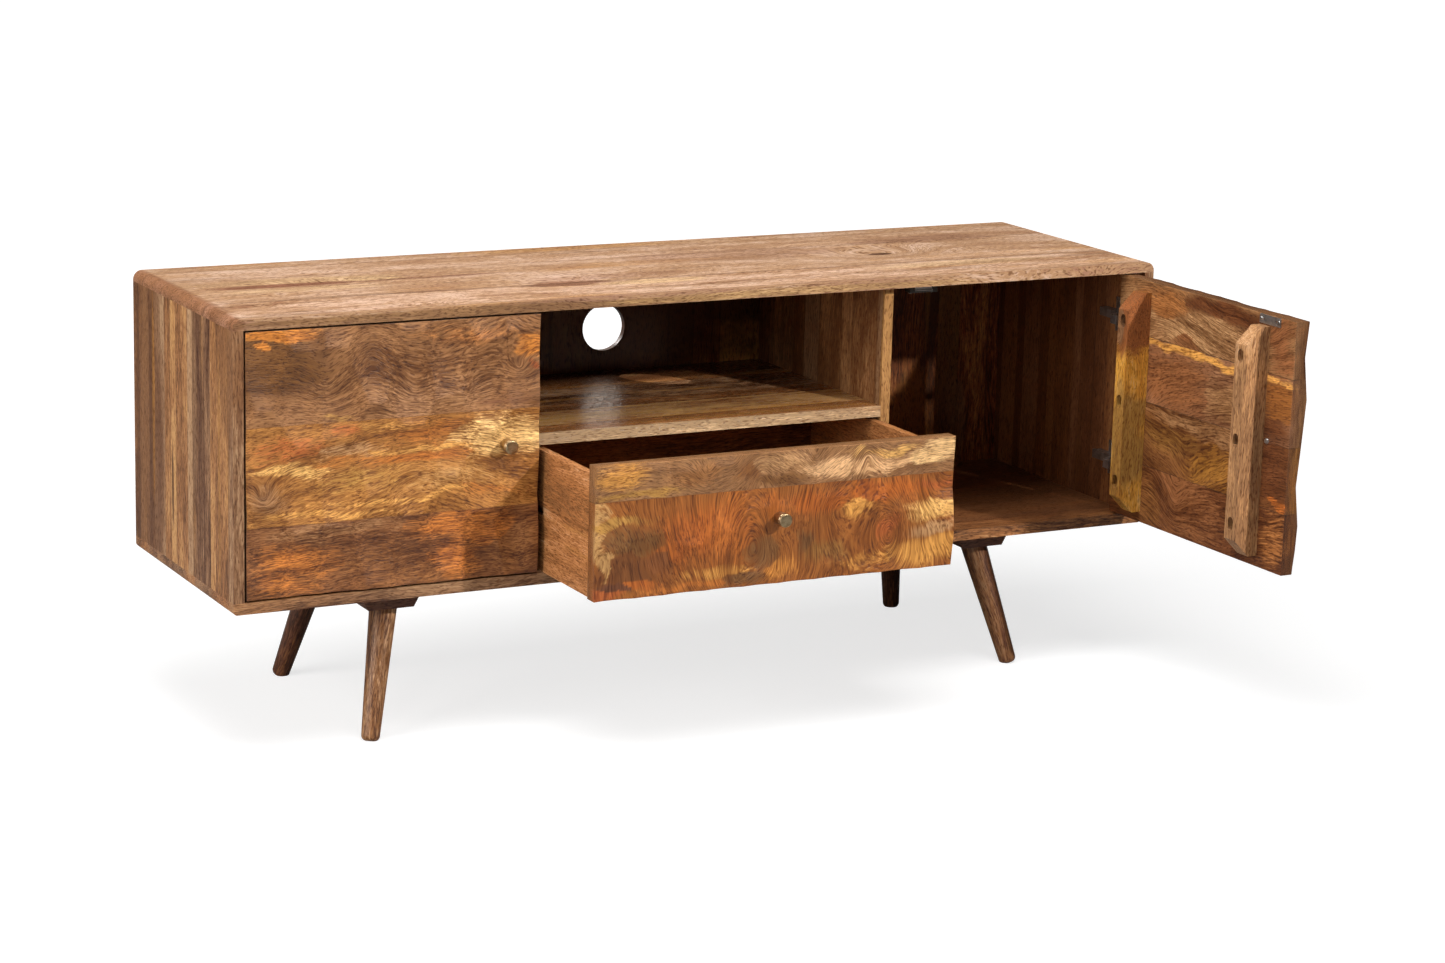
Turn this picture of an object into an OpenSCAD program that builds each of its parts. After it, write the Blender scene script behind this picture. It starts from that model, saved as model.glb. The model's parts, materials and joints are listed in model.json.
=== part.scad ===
// A low cabinet for a television, made of solid strips of hardwood: two cupboards with inset doors,
// a middle bay with a shelf over a drawer, and four splayed turned legs.
// Origin: floor level, middle of the width, plane of the case's front edges. +X right, +Y back, +Z up.

/* [Case] */
// Width of the case
case_w = 1450; // [1350:10:1600]
// Depth of the case
case_d = 410; // [400:5:450]
// Height of the case without its legs
case_h = 400; // [390:5:430]
// Thickness of the top panel
top_t = 15; // [15:1:22]
// Radius of the top panel's rounded ends
top_round = 13; // [4:1:14]
// Thickness of the bottom panel
bottom_t = 16; // [15:1:20]
// Radius along the bottom panel's lower ends
bottom_round = 5; // [2:1:10]
// Thickness of the side panels
side_t = 15; // [15:1:20]
// Thickness of the back panel
back_t = 10; // [6:1:14]

/* [Middle bay] */
// Clear width between the dividers
bay_w = 547; // [500:1:600]
// Thickness of the dividers
divider_t = 15; // [15:1:20]
// Distance of the dividers and shelf behind the front edges
setback = 22.5; // [22.5:0.5:26]
// Height of the shelf's upper face above the case's underside
shelf_level = 209; // [200:1:220]
// Thickness of the shelf
shelf_t = 16; // [14:1:18]
// Diameter of the cable hole in the back
cable_hole_d = 70; // [50:1:80]
// Sideways offset of the cable hole
cable_hole_x = 7; // [-20:1:20]
// Height of the cable hole above the case's underside
cable_hole_level = 274; // [265:1:290]

/* [Legs] */
// Height of the case's underside above the floor
leg_h = 206; // [180:2:230]
// Leg root's distance from the middle of the width
leg_root_x = 472; // [400:2:520]
// Leg root's distance from the front or back edge
leg_root_y = 89; // [80:1:110]
// Outward lean of the foot along the width
lean_x = 46; // [20:1:60]
// Outward lean of the foot along the depth
lean_y = 60; // [20:1:70]
// Radius of the leg at its root
leg_root_r = 20.5; // [16:0.5:22]
// Radius of the leg at its foot
leg_foot_r = 13; // [10:0.5:16]
// Thickness of the mounting block under the case
block_h = 28; // [24:1:34]

/* [Doors] */
// Thickness of a door at its carved ridges
leaf_t = 22.5; // [20:0.5:22.5]
// Gap around the doors and the drawer front
front_gap = 2.5; // [2:0.5:3]
// How far the carved ridges stand proud of the case
ridge = 1; // [0.5:0.5:1]
// Opening angle of the right door as stored
right_open = 90.8; // [0:0.1:100]
// Opening angle of the left door as stored
left_open = 0; // [0:1:100]
// Distance of a knob from the door's free edge
knob_in = 50; // [40:1:70]
// Height of the hinges above the door's lower edge, and below its upper edge
hinge_in = 71; // [65:1:90]

/* [Drawer] */
// Distance that the drawer is pulled out as stored
drawer_out = 178; // [0:1:183]
// Height of the drawer front's upper edge above the case's underside
drawer_top = 205; // [195:1:206]
// Thickness of the drawer's sides and back
drawer_side_t = 12; // [12:1:15]

/* [Hidden] */
$fn = 48;

// Case levels
half_w = case_w / 2;
case_top = leg_h + case_h;
ceiling = case_top - top_t;
floor_z = leg_h + bottom_t;
inner_x = half_w - side_t;
divider_mid = (bay_w + divider_t) / 2;
shelf_z = leg_h + shelf_level;

// Doors, drawn closed on the right and then turned or mirrored into place
leaf_back = leaf_t - ridge;
leaf_x1 = inner_x - front_gap;
leaf_x0 = divider_mid + front_gap / 2;
leaf_z0 = floor_z + front_gap;
leaf_z1 = ceiling - front_gap;
leaf_mid_z = (leaf_z0 + leaf_z1) / 2;
pivot = [leaf_x1 - 12, 5, 0];
hinge_levels = [leaf_z0 + hinge_in, leaf_z1 - hinge_in];
knob_x = leaf_x0 + knob_in;
knob_z = leaf_mid_z + 3;

// Cup hinges
cup_x = leaf_x1 - 22;
cup_r = 17.4;
cup_depth = 11.2;
cup_screw_x = cup_x - 6;
cup_screw_dz = 24;
plate_screw_y = 62;
plate_screw_dz = 19;
nose_reach = 36;

// Battens across the backs of the doors
batten_w = 25;
batten_depth = 40;
batten_margin = 16;
batten_chamfer = 25;
batten_xs = [leaf_x1 - 67, leaf_x0 + 70.5];
slot_pitch = 121.5;
slot_mid_z = leaf_mid_z + 3;
slot_levels = [for (i = [-1 : 1]) slot_mid_z + i * slot_pitch];
sink_depth = 22;

// Magnetic catches
catch_x = leaf_x0 + 58;
catch_y = leaf_back + 3.5;
catch_screw_dx = 18;
strike_w = 48;
strike_screw_dx = 20;

// Drawer, drawn closed and then pulled out
drawer_half_w = divider_mid - front_gap / 2;
box_half_w = bay_w / 2 - 1.5;
box_z0 = floor_z + 0.5;
box_z1 = shelf_z - shelf_t - 5;
box_back = case_d - back_t - 8;
box_bottom_t = 5;
box_bottom_z = box_z0 + 9;
slot_depth = 5;
guide_z = (box_z0 + box_z1) / 2;
guide_r = 6;
guide_depth = 7;
peg_r = 5.5;
peg_y = 190;
drawer_travel = 185;
drawer_knob_z = (leaf_z0 + leg_h + drawer_top) / 2;

// Knobs
knob_len = 21;
knob_r = 9.6;
bolt_r = 2;

// Legs: the foot, the lean of the leg's axis and its length
leg_axis = sqrt(leg_h * leg_h + lean_x * lean_x + lean_y * lean_y);
leg_tilt = acos(leg_h / leg_axis);
leg_turn = atan2(lean_y, lean_x);
foot_round = 8;
foot_cut = 1.1;
tenon_r = 11;
tenon_len = 22;
block_bottom_w = 67;
block_top_w = 99;
block_d = 64;
block_shift = [6, -5, 0];
block_screw_dx = 27;
block_screw_dy = 25;

// ---------- shared shapes ----------

// A hole or rod along +Y from y0 to y1
module rod_y(x, z, r, y0, y1) {
  translate([x, y1, z]) rotate([90, 0, 0]) cylinder(r = r, h = y1 - y0);
}

// A long hole along Z with round ends, cut along +Y
module slot_y(x, z, r, half_run, y0, y1) {
  for (s = [-1, 1]) rod_y(x, z + s * half_run, r, y0, y1);
  translate([x - r, y0, z - half_run]) cube([2 * r, y1 - y0, 2 * half_run]);
}

// A screw along +Z: its head is below z = 0 and its shank above
module pan_screw(shank_r, shank_len, head_r, head_h) {
  cylinder(r = shank_r, h = shank_len);
  translate([0, 0, -head_h]) cylinder(r1 = head_r * 0.8, r2 = head_r, h = head_h);
}

// A countersunk screw along +Z, its head flush with z = 0
module flat_screw(shank_r, shank_len, head_r, head_h) {
  cylinder(r1 = head_r, r2 = shank_r, h = head_h);
  translate([0, 0, head_h - 0.01]) cylinder(r = shank_r, h = shank_len - head_h + 0.01);
}

// A panel across the full width, with its two ends rounded on one face
module rounded_end_panel(t, r, round_up) {
  lift = round_up ? 0 : r;
  round_z = round_up ? t - r : r;
  translate([0, case_d, 0]) rotate([90, 0, 0]) linear_extrude(case_d) {
    translate([-half_w, lift]) square([case_w, t - r]);
    translate([-half_w + r, 0]) square([case_w - 2 * r, t]);
    intersection() {
      for (s = [-1, 1]) translate([s * (half_w - r), round_z]) circle(r = r);
      translate([-half_w, 0]) square([case_w, t]);
    }
  }
}

// ---------- case ----------

module top_panel() {
  color("#a5754e") difference() {
    translate([0, 0, ceiling]) rounded_end_panel(top_t, top_round, true);
    for (s = [-1, 1], d = [-1, 1])
      translate([s * catch_x + d * catch_screw_dx, catch_y + 9, ceiling - 1]) cylinder(r = 1.65, h = 9);
  }
}

module bottom_panel() {
  color("#8d6140") difference() {
    translate([0, 0, leg_h]) rounded_end_panel(bottom_t, bottom_round, false);
    each_leg() block_screw_places() translate([0, 0, leg_h - 1]) cylinder(r = 2.05, h = 12);
  }
}

module side_panel(side) {
  color("#8a6547") difference() {
    translate([side > 0 ? inner_x : -half_w, 0, floor_z]) cube([side_t, case_d, ceiling - floor_z]);
    for (z = hinge_levels, d = [-1, 1])
      translate([side * (inner_x - 1), plate_screw_y, z + d * plate_screw_dz])
        rotate([0, side * 90, 0]) cylinder(r = 1.8, h = 11.5);
  }
}

module back_panel() {
  color("#6b4a30") difference() {
    translate([-inner_x, case_d - back_t, floor_z]) cube([2 * inner_x, back_t, ceiling - floor_z]);
    rod_y(cable_hole_x, leg_h + cable_hole_level, cable_hole_d / 2, case_d - back_t - 1, case_d + 1);
  }
}

module divider(side) {
  color("#94683f") difference() {
    translate([side > 0 ? bay_w / 2 : -bay_w / 2 - divider_t, setback, floor_z])
      cube([divider_t, case_d - back_t - setback, ceiling - floor_z]);
    translate([side * (bay_w / 2 - 1), peg_y, guide_z]) rotate([0, side * 90, 0])
      cylinder(r = peg_r + 0.02, h = 9.5);
  }
}

module shelf() {
  color("#9b6f45") translate([-bay_w / 2, setback, shelf_z - shelf_t])
    cube([bay_w, case_d - back_t - setback, shelf_t]);
}

module guide_peg(side) {
  color("#6f4c2e") translate([side * (bay_w / 2 + 8), peg_y, guide_z]) rotate([0, -side * 90, 0])
    cylinder(r = peg_r, h = 15);
}

// ---------- legs ----------

// Repeats its children for the four legs, mirrored from the front left one
module each_leg() {
  for (sx = [-1, 1], sy = [-1, 1]) leg_place(sx, sy) children();
}

// Places a front right leg's shape at corner sx, sy, where sy = -1 is the front
module leg_place(sx, sy) {
  translate([0, sy > 0 ? case_d : 0, 0]) mirror([sx < 0 ? 1 : 0, 0, 0]) mirror([0, sy > 0 ? 1 : 0, 0])
    translate([leg_root_x, leg_root_y, 0]) children();
}

module block_screw_places() {
  for (dx = [-1, 1], dy = [-1, 1])
    translate(block_shift + [dx * block_screw_dx, dy * block_screw_dy, 0]) children();
}

// Frame along the leg's axis, with z = 0 at the foot and +Z towards the root
module leg_line() {
  translate([lean_x, -lean_y, 0]) rotate([0, 0, 180 - leg_turn]) rotate([0, leg_tilt, 0]) children();
}

module leg_block(sx, sy) {
  color("#7b5535") leg_place(sx, sy) difference() {
    translate(block_shift + [0, block_d / 2, leg_h]) rotate([90, 0, 0]) linear_extrude(block_d)
      polygon([[-block_top_w / 2, 0], [-block_bottom_w / 2, -block_h], [block_bottom_w / 2, -block_h],
               [block_top_w / 2, 0]]);
    leg_line() translate([0, 0, leg_axis - block_h - 12]) cylinder(r = tenon_r + 0.02, h = tenon_len + 10);
    block_screw_places() translate([0, 0, leg_h - block_h]) {
      cylinder(r1 = 4.1, r2 = 2.05, h = 3.1);
      cylinder(r = 2.05, h = block_h + 1);
    }
  }
}

module leg(sx, sy) {
  taper = [[0, 0], [leg_foot_r - foot_round, 0], [leg_foot_r, foot_round],
           [leg_root_r, leg_axis], [0, leg_axis]];
  color("#6b452b") leg_place(sx, sy) {
    intersection() {
      leg_line() translate([0, 0, -foot_cut]) rotate_extrude() {
        polygon(taper);
        intersection() {
          translate([leg_foot_r - foot_round, foot_round]) circle(r = foot_round);
          square([2 * leg_foot_r, leg_axis]);
        }
      }
      translate([-100, -120, 0]) cube([200, 200, leg_h - block_h]);
    }
    intersection() {
      leg_line() translate([0, 0, leg_axis - block_h - 10]) cylinder(r = tenon_r, h = tenon_len + 6);
      translate([-100, -120, leg_h - block_h - 2]) cube([200, 200, block_h]);
    }
  }
}

module leg_block_screws() {
  color("#8f8a80") each_leg() block_screw_places()
    translate([0, 0, leg_h - block_h]) flat_screw(2, block_h + 9, 4, 3);
}

// ---------- magnetic catches ----------

module catch_body(side) {
  color("#2b2622") translate([side * catch_x, catch_y, 0]) difference() {
    translate([-23, 0, ceiling - 13]) cube([46, 15, 13]);
    translate([-15, -1, ceiling - 10.5]) cube([30, 13, 8]);
    for (d = [-1, 1]) translate([d * catch_screw_dx, 9, ceiling - 14]) cylinder(r = 1.65, h = 15);
  }
}

module catch_magnets() {
  color("#9a9a98") for (side = [-1, 1])
    translate([side * catch_x - 14.8, catch_y - 1.2, 0]) difference() {
      translate([0, 0, ceiling - 10.5]) cube([29.6, 13.2, 8]);
      translate([-1, -1, ceiling - 9.2]) cube([31.6, 3, 5.4]);
    }
}

module catch_screws() {
  color("#8f8a80") for (side = [-1, 1], d = [-1, 1])
    translate([side * catch_x + d * catch_screw_dx, catch_y + 9, ceiling - 13]) pan_screw(1.6, 20, 3, 1.6);
}

// ---------- concealed hinges, case half ----------

// Arm with a cranked nose that reaches into the cup of a closed door
module hinge_arm(side, level) {
  outline = [[6, 98], [12, 98], [12, 48], [nose_reach, 33], [nose_reach, 18.7], [nose_reach - 4.5, 18.7],
             [nose_reach - 4.5, 28], [6, 42]];
  color("#a9a8a3") mirror([side < 0 ? 1 : 0, 0, 0]) translate([inner_x, 0, hinge_levels[level] - 6.5])
    mirror([1, 0, 0]) linear_extrude(13) polygon(outline);
}

module hinge_plates() {
  color("#8c8b87") for (m = [0, 1], z = hinge_levels) mirror([m, 0, 0]) difference() {
    union() {
      translate([inner_x - 6, 46, z - 7]) cube([6, 48, 14]);
      translate([inner_x - 2.2, plate_screw_y - 7, z - 26]) cube([2.2, 14, 52]);
    }
    for (d = [-1, 1]) translate([inner_x - 3, plate_screw_y, z + d * plate_screw_dz])
      rotate([0, 90, 0]) cylinder(r = 1.8, h = 4);
  }
}

module hinge_plate_screws() {
  color("#8f8a80") for (m = [0, 1], z = hinge_levels, d = [-1, 1]) mirror([m, 0, 0])
    translate([inner_x - 2.2, plate_screw_y, z + d * plate_screw_dz]) rotate([0, 90, 0])
      pan_screw(1.75, 12, 3.5, 1.8);
}

// ---------- doors ----------

// Turns or mirrors a closed right-hand door part into its stored place
module right_door() {
  translate(pivot) rotate([0, 0, right_open]) translate(-pivot) children();
}

module left_door() {
  mirror([1, 0, 0]) translate(pivot) rotate([0, 0, left_open]) translate(-pivot) children();
}

module door_panel() {
  color("#9a6a40") difference() {
    translate([leaf_x0, -ridge, leaf_z0]) cube([leaf_x1 - leaf_x0, leaf_t, leaf_z1 - leaf_z0]);
    for (z = hinge_levels) {
      rod_y(cup_x, z, cup_r + 0.05, leaf_back - cup_depth - 0.1, leaf_back + 1);
      for (d = [-1, 1]) rod_y(cup_screw_x, z + d * cup_screw_dz, 1.65, leaf_back - 12, leaf_back + 1);
    }
    for (x = batten_xs, z = slot_levels) rod_y(x, z, 2.05, leaf_back - 13, leaf_back + 1);
    for (d = [-1, 1]) rod_y(catch_x + d * strike_screw_dx, leaf_z1 - 7, 1.5, leaf_back - 11, leaf_back + 1);
    rod_y(knob_x, knob_z, bolt_r + 0.1, -ridge - 1, leaf_back + 1);
  }
}

// Upright batten: 0 is the one near the hinges and 1 the one near the free edge
module door_batten(which) {
  z0 = leaf_z0 + batten_margin;
  z1 = leaf_z1 - batten_margin;
  y1 = leaf_back + batten_depth;
  c = batten_chamfer;
  x = batten_xs[which];
  color("#a5753f") difference() {
    translate([x - batten_w / 2, 0, 0]) rotate([90, 0, 90]) linear_extrude(batten_w)
      polygon([[leaf_back, z0], [y1 - c, z0], [y1, z0 + c], [y1, z1 - c], [y1 - c, z1], [leaf_back, z1]]);
    for (z = slot_levels) {
      slot_y(x, z, 6, 4, y1 - sink_depth, y1 + 1);
      slot_y(x, z, 2.5, 4, leaf_back - 1, y1 - sink_depth + 1);
    }
  }
}

module batten_screws() {
  head_y = leaf_back + batten_depth - sink_depth;
  color("#8f8a80") for (x = batten_xs, z = slot_levels)
    translate([x, head_y, z]) rotate([90, 0, 0]) pan_screw(2, head_y - leaf_back + 12, 4.5, 2.6);
}

module strike_plate() {
  color("#b9bcc0") difference() {
    translate([catch_x - strike_w / 2, leaf_back, leaf_z1 - 13.5]) cube([strike_w, 1.5, 13]);
    for (dx = [-20, -14, 14, 20]) rod_y(catch_x + dx, leaf_z1 - 7, 1.7, leaf_back - 1, leaf_back + 3);
  }
}

module strike_screws() {
  color("#8f8a80") for (d = [-1, 1])
    translate([catch_x + d * strike_screw_dx, leaf_back + 1.5, leaf_z1 - 7]) rotate([90, 0, 0])
      pan_screw(1.45, 12, 2.7, 1);
}

module hinge_cups() {
  color("#b0afaa") for (z = hinge_levels) difference() {
    union() {
      rod_y(cup_x, z, cup_r, leaf_back - cup_depth, leaf_back);
      rod_y(cup_x, z, 19.5, leaf_back, leaf_back + 1.5);
      translate([cup_screw_x - 6.5, leaf_back, z - 30]) cube([13, 1.5, 60]);
    }
    rod_y(cup_x, z, 14.5, leaf_back - cup_depth + 1.5, leaf_back + 3);
    for (d = [-1, 1]) rod_y(cup_screw_x, z + d * cup_screw_dz, 1.65, leaf_back - 1, leaf_back + 3);
  }
}

module cup_screws() {
  color("#8f8a80") for (z = hinge_levels, d = [-1, 1])
    translate([cup_screw_x, leaf_back + 1.5, z + d * cup_screw_dz]) rotate([90, 0, 0])
      pan_screw(1.6, 13, 3.4, 1.5);
}

// ---------- knobs ----------

// Knob standing forward of the plane y = -ridge, with a blind hole for its bolt
module knob_shape(x, z) {
  color("#a58d55") translate([x, -ridge, z]) rotate([90, 0, 0]) difference() {
    rotate_extrude() polygon([[0, 0], [knob_r - 1.2, 0], [knob_r - 0.8, 0.6], [knob_r, knob_len - 1],
                              [knob_r - 1, knob_len], [0, knob_len]]);
    translate([0, 0, -1]) cylinder(r = bolt_r + 0.02, h = 13);
  }
}

module knob_bolt_shape(x, z, back) {
  color("#c8c6c0") translate([x, back, z]) rotate([90, 0, 0]) pan_screw(bolt_r, back + ridge + 11, 4, 2.4);
}

module door_knob() { knob_shape(knob_x, knob_z); }
module knob_bolt() { knob_bolt_shape(knob_x, knob_z, leaf_back); }

// ---------- drawer ----------

module pulled_out() { translate([0, -drawer_out, 0]) children(); }

module drawer_front() {
  color("#a8673a") pulled_out() difference() {
    translate([-drawer_half_w, -ridge, leaf_z0])
      cube([2 * drawer_half_w, leaf_t, leg_h + drawer_top - leaf_z0]);
    translate([-box_half_w + drawer_side_t - slot_depth, leaf_back - 4, box_bottom_z])
      cube([2 * (box_half_w - drawer_side_t + slot_depth), 5, box_bottom_t]);
    rod_y(0, drawer_knob_z, bolt_r + 0.1, -ridge - 1, leaf_back + 1);
  }
}

module drawer_side(side) {
  color("#a07048") pulled_out() mirror([side < 0 ? 1 : 0, 0, 0]) difference() {
    translate([box_half_w - drawer_side_t, leaf_back, box_z0])
      cube([drawer_side_t, box_back - leaf_back, box_z1 - box_z0]);
    translate([box_half_w - drawer_side_t - 1, leaf_back - 1, box_bottom_z])
      cube([slot_depth + 1, box_back, box_bottom_t]);
    for (y = [peg_y - 2, peg_y + drawer_travel + 0.5])
      translate([box_half_w - guide_depth, y, guide_z]) rotate([0, 90, 0])
        cylinder(r = guide_r, h = guide_depth + 1);
    translate([box_half_w - guide_depth, peg_y - 2, guide_z - guide_r])
      cube([guide_depth + 1, drawer_travel + 2.5, 2 * guide_r]);
  }
}

module drawer_back() {
  half = box_half_w - drawer_side_t;
  z0 = box_bottom_z + box_bottom_t;
  color("#8a5f3c") pulled_out() translate([-half, box_back - drawer_side_t, z0])
    cube([2 * half, drawer_side_t, box_z1 - z0]);
}

module drawer_bottom() {
  half = box_half_w - drawer_side_t + slot_depth - 0.5;
  color("#8f6a45") pulled_out() translate([-half, leaf_back - 3.5, box_bottom_z])
    cube([2 * half, box_back - leaf_back + 2.5, box_bottom_t]);
}

module drawer_knob() { pulled_out() knob_shape(0, drawer_knob_z); }
module drawer_knob_bolt() { pulled_out() knob_bolt_shape(0, drawer_knob_z, leaf_back); }

// ---------- nodes ----------

top_panel();
bottom_panel();
side_panel(-1);  // left_side_panel
side_panel(1);  // right_side_panel
back_panel();
divider(-1);  // left_divider
divider(1);  // right_divider
shelf();
leg_block(-1, -1);  // front_left_leg_block
leg_block(1, -1);  // front_right_leg_block
leg_block(-1, 1);  // rear_left_leg_block
leg_block(1, 1);  // rear_right_leg_block
leg(-1, -1);  // front_left_leg
leg(1, -1);  // front_right_leg
leg(-1, 1);  // rear_left_leg
leg(1, 1);  // rear_right_leg
leg_block_screws();
guide_peg(-1);  // left_guide_peg
guide_peg(1);  // right_guide_peg
catch_body(-1);  // left_catch
catch_body(1);  // right_catch
catch_magnets();
catch_screws();
hinge_arm(-1, 1);  // upper_left_hinge_arm
hinge_arm(-1, 0);  // lower_left_hinge_arm
hinge_arm(1, 1);  // upper_right_hinge_arm
hinge_arm(1, 0);  // lower_right_hinge_arm
hinge_plates();
hinge_plate_screws();
left_door() door_panel();  // left_door_panel
left_door() door_batten(0);  // left_door_hinge_batten
left_door() door_batten(1);  // left_door_free_batten
left_door() batten_screws();  // left_batten_screws
left_door() strike_plate();  // left_strike_plate
left_door() strike_screws();  // left_strike_screws
left_door() hinge_cups();  // left_hinge_cups
left_door() cup_screws();  // left_cup_screws
left_door() door_knob();  // left_door_knob
left_door() knob_bolt();  // left_knob_bolt
right_door() door_panel();  // right_door_panel
right_door() door_batten(0);  // right_door_hinge_batten
right_door() door_batten(1);  // right_door_free_batten
right_door() batten_screws();  // right_batten_screws
right_door() strike_plate();  // right_strike_plate
right_door() strike_screws();  // right_strike_screws
right_door() hinge_cups();  // right_hinge_cups
right_door() cup_screws();  // right_cup_screws
right_door() door_knob();  // right_door_knob
right_door() knob_bolt();  // right_knob_bolt
drawer_front();
drawer_side(-1);  // drawer_left_side
drawer_side(1);  // drawer_right_side
drawer_back();
drawer_bottom();
drawer_knob();
drawer_knob_bolt();
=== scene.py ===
"""Television stand: looks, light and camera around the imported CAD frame. Metres, row frame."""
import json
import math

import bpy
import numpy as np
from mathutils import Matrix, Vector


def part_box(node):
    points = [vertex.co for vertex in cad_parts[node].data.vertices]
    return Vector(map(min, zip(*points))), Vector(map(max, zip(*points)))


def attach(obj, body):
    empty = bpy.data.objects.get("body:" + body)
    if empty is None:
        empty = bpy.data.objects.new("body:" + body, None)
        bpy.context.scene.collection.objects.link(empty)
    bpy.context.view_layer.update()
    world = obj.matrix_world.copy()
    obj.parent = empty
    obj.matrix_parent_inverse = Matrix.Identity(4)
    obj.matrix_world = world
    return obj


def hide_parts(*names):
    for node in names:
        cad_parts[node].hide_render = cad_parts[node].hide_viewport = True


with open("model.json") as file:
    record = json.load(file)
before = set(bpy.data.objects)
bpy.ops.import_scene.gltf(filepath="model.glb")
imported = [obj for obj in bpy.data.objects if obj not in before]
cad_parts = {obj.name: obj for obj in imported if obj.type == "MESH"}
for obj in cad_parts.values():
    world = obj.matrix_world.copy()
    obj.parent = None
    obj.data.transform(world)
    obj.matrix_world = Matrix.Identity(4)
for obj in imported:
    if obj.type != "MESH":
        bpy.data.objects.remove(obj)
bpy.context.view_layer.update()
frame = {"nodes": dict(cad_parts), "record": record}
NODES = frame["nodes"]
MM = 0.001

# ---------------------------------------------------------------- colours
def paint(red, green, blue):
    """Linear colour from 0-255 display values."""
    shares = (red / 255, green / 255, blue / 255)
    return tuple(c / 12.92 if c <= 0.04045 else ((c + 0.055) / 1.055) ** 2.4 for c in shares)


DARK_BROWN = paint(84, 49, 27)
PURPLE_BROWN = paint(104, 64, 44)
BROWN = paint(136, 90, 52)
GREY_BROWN = paint(148, 108, 74)
GREY_TAN = paint(176, 136, 98)
WARM_BROWN = paint(168, 110, 62)
ORANGE = paint(192, 122, 54)
RED = paint(168, 92, 48)
GOLD = paint(202, 146, 76)
YELLOW = paint(220, 174, 108)
DEEP = paint(62, 32, 14)
DEEP_RED = paint(132, 66, 30)
DEEP_BROWN = paint(112, 66, 34)
DEEP_OLIVE = paint(128, 88, 44)
OLIVE = paint(168, 126, 66)
TAN = paint(192, 142, 94)
PALE = paint(214, 172, 132)
CREAM = paint(226, 188, 140)
UMBER = paint(150, 104, 76)
GLOW = paint(180, 110, 50)
HONEY = paint(206, 152, 84)
DUSK = paint(142, 102, 68)
RUST = paint(166, 92, 38)
WEDGE = paint(122, 84, 50)
LOW_BROWN = paint(124, 80, 48)
SOFT_TAN = paint(160, 118, 84)
DIM_BROWN = paint(100, 66, 40)
MID = paint(132, 84, 52)
SHADED = paint(100, 58, 32)


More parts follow.
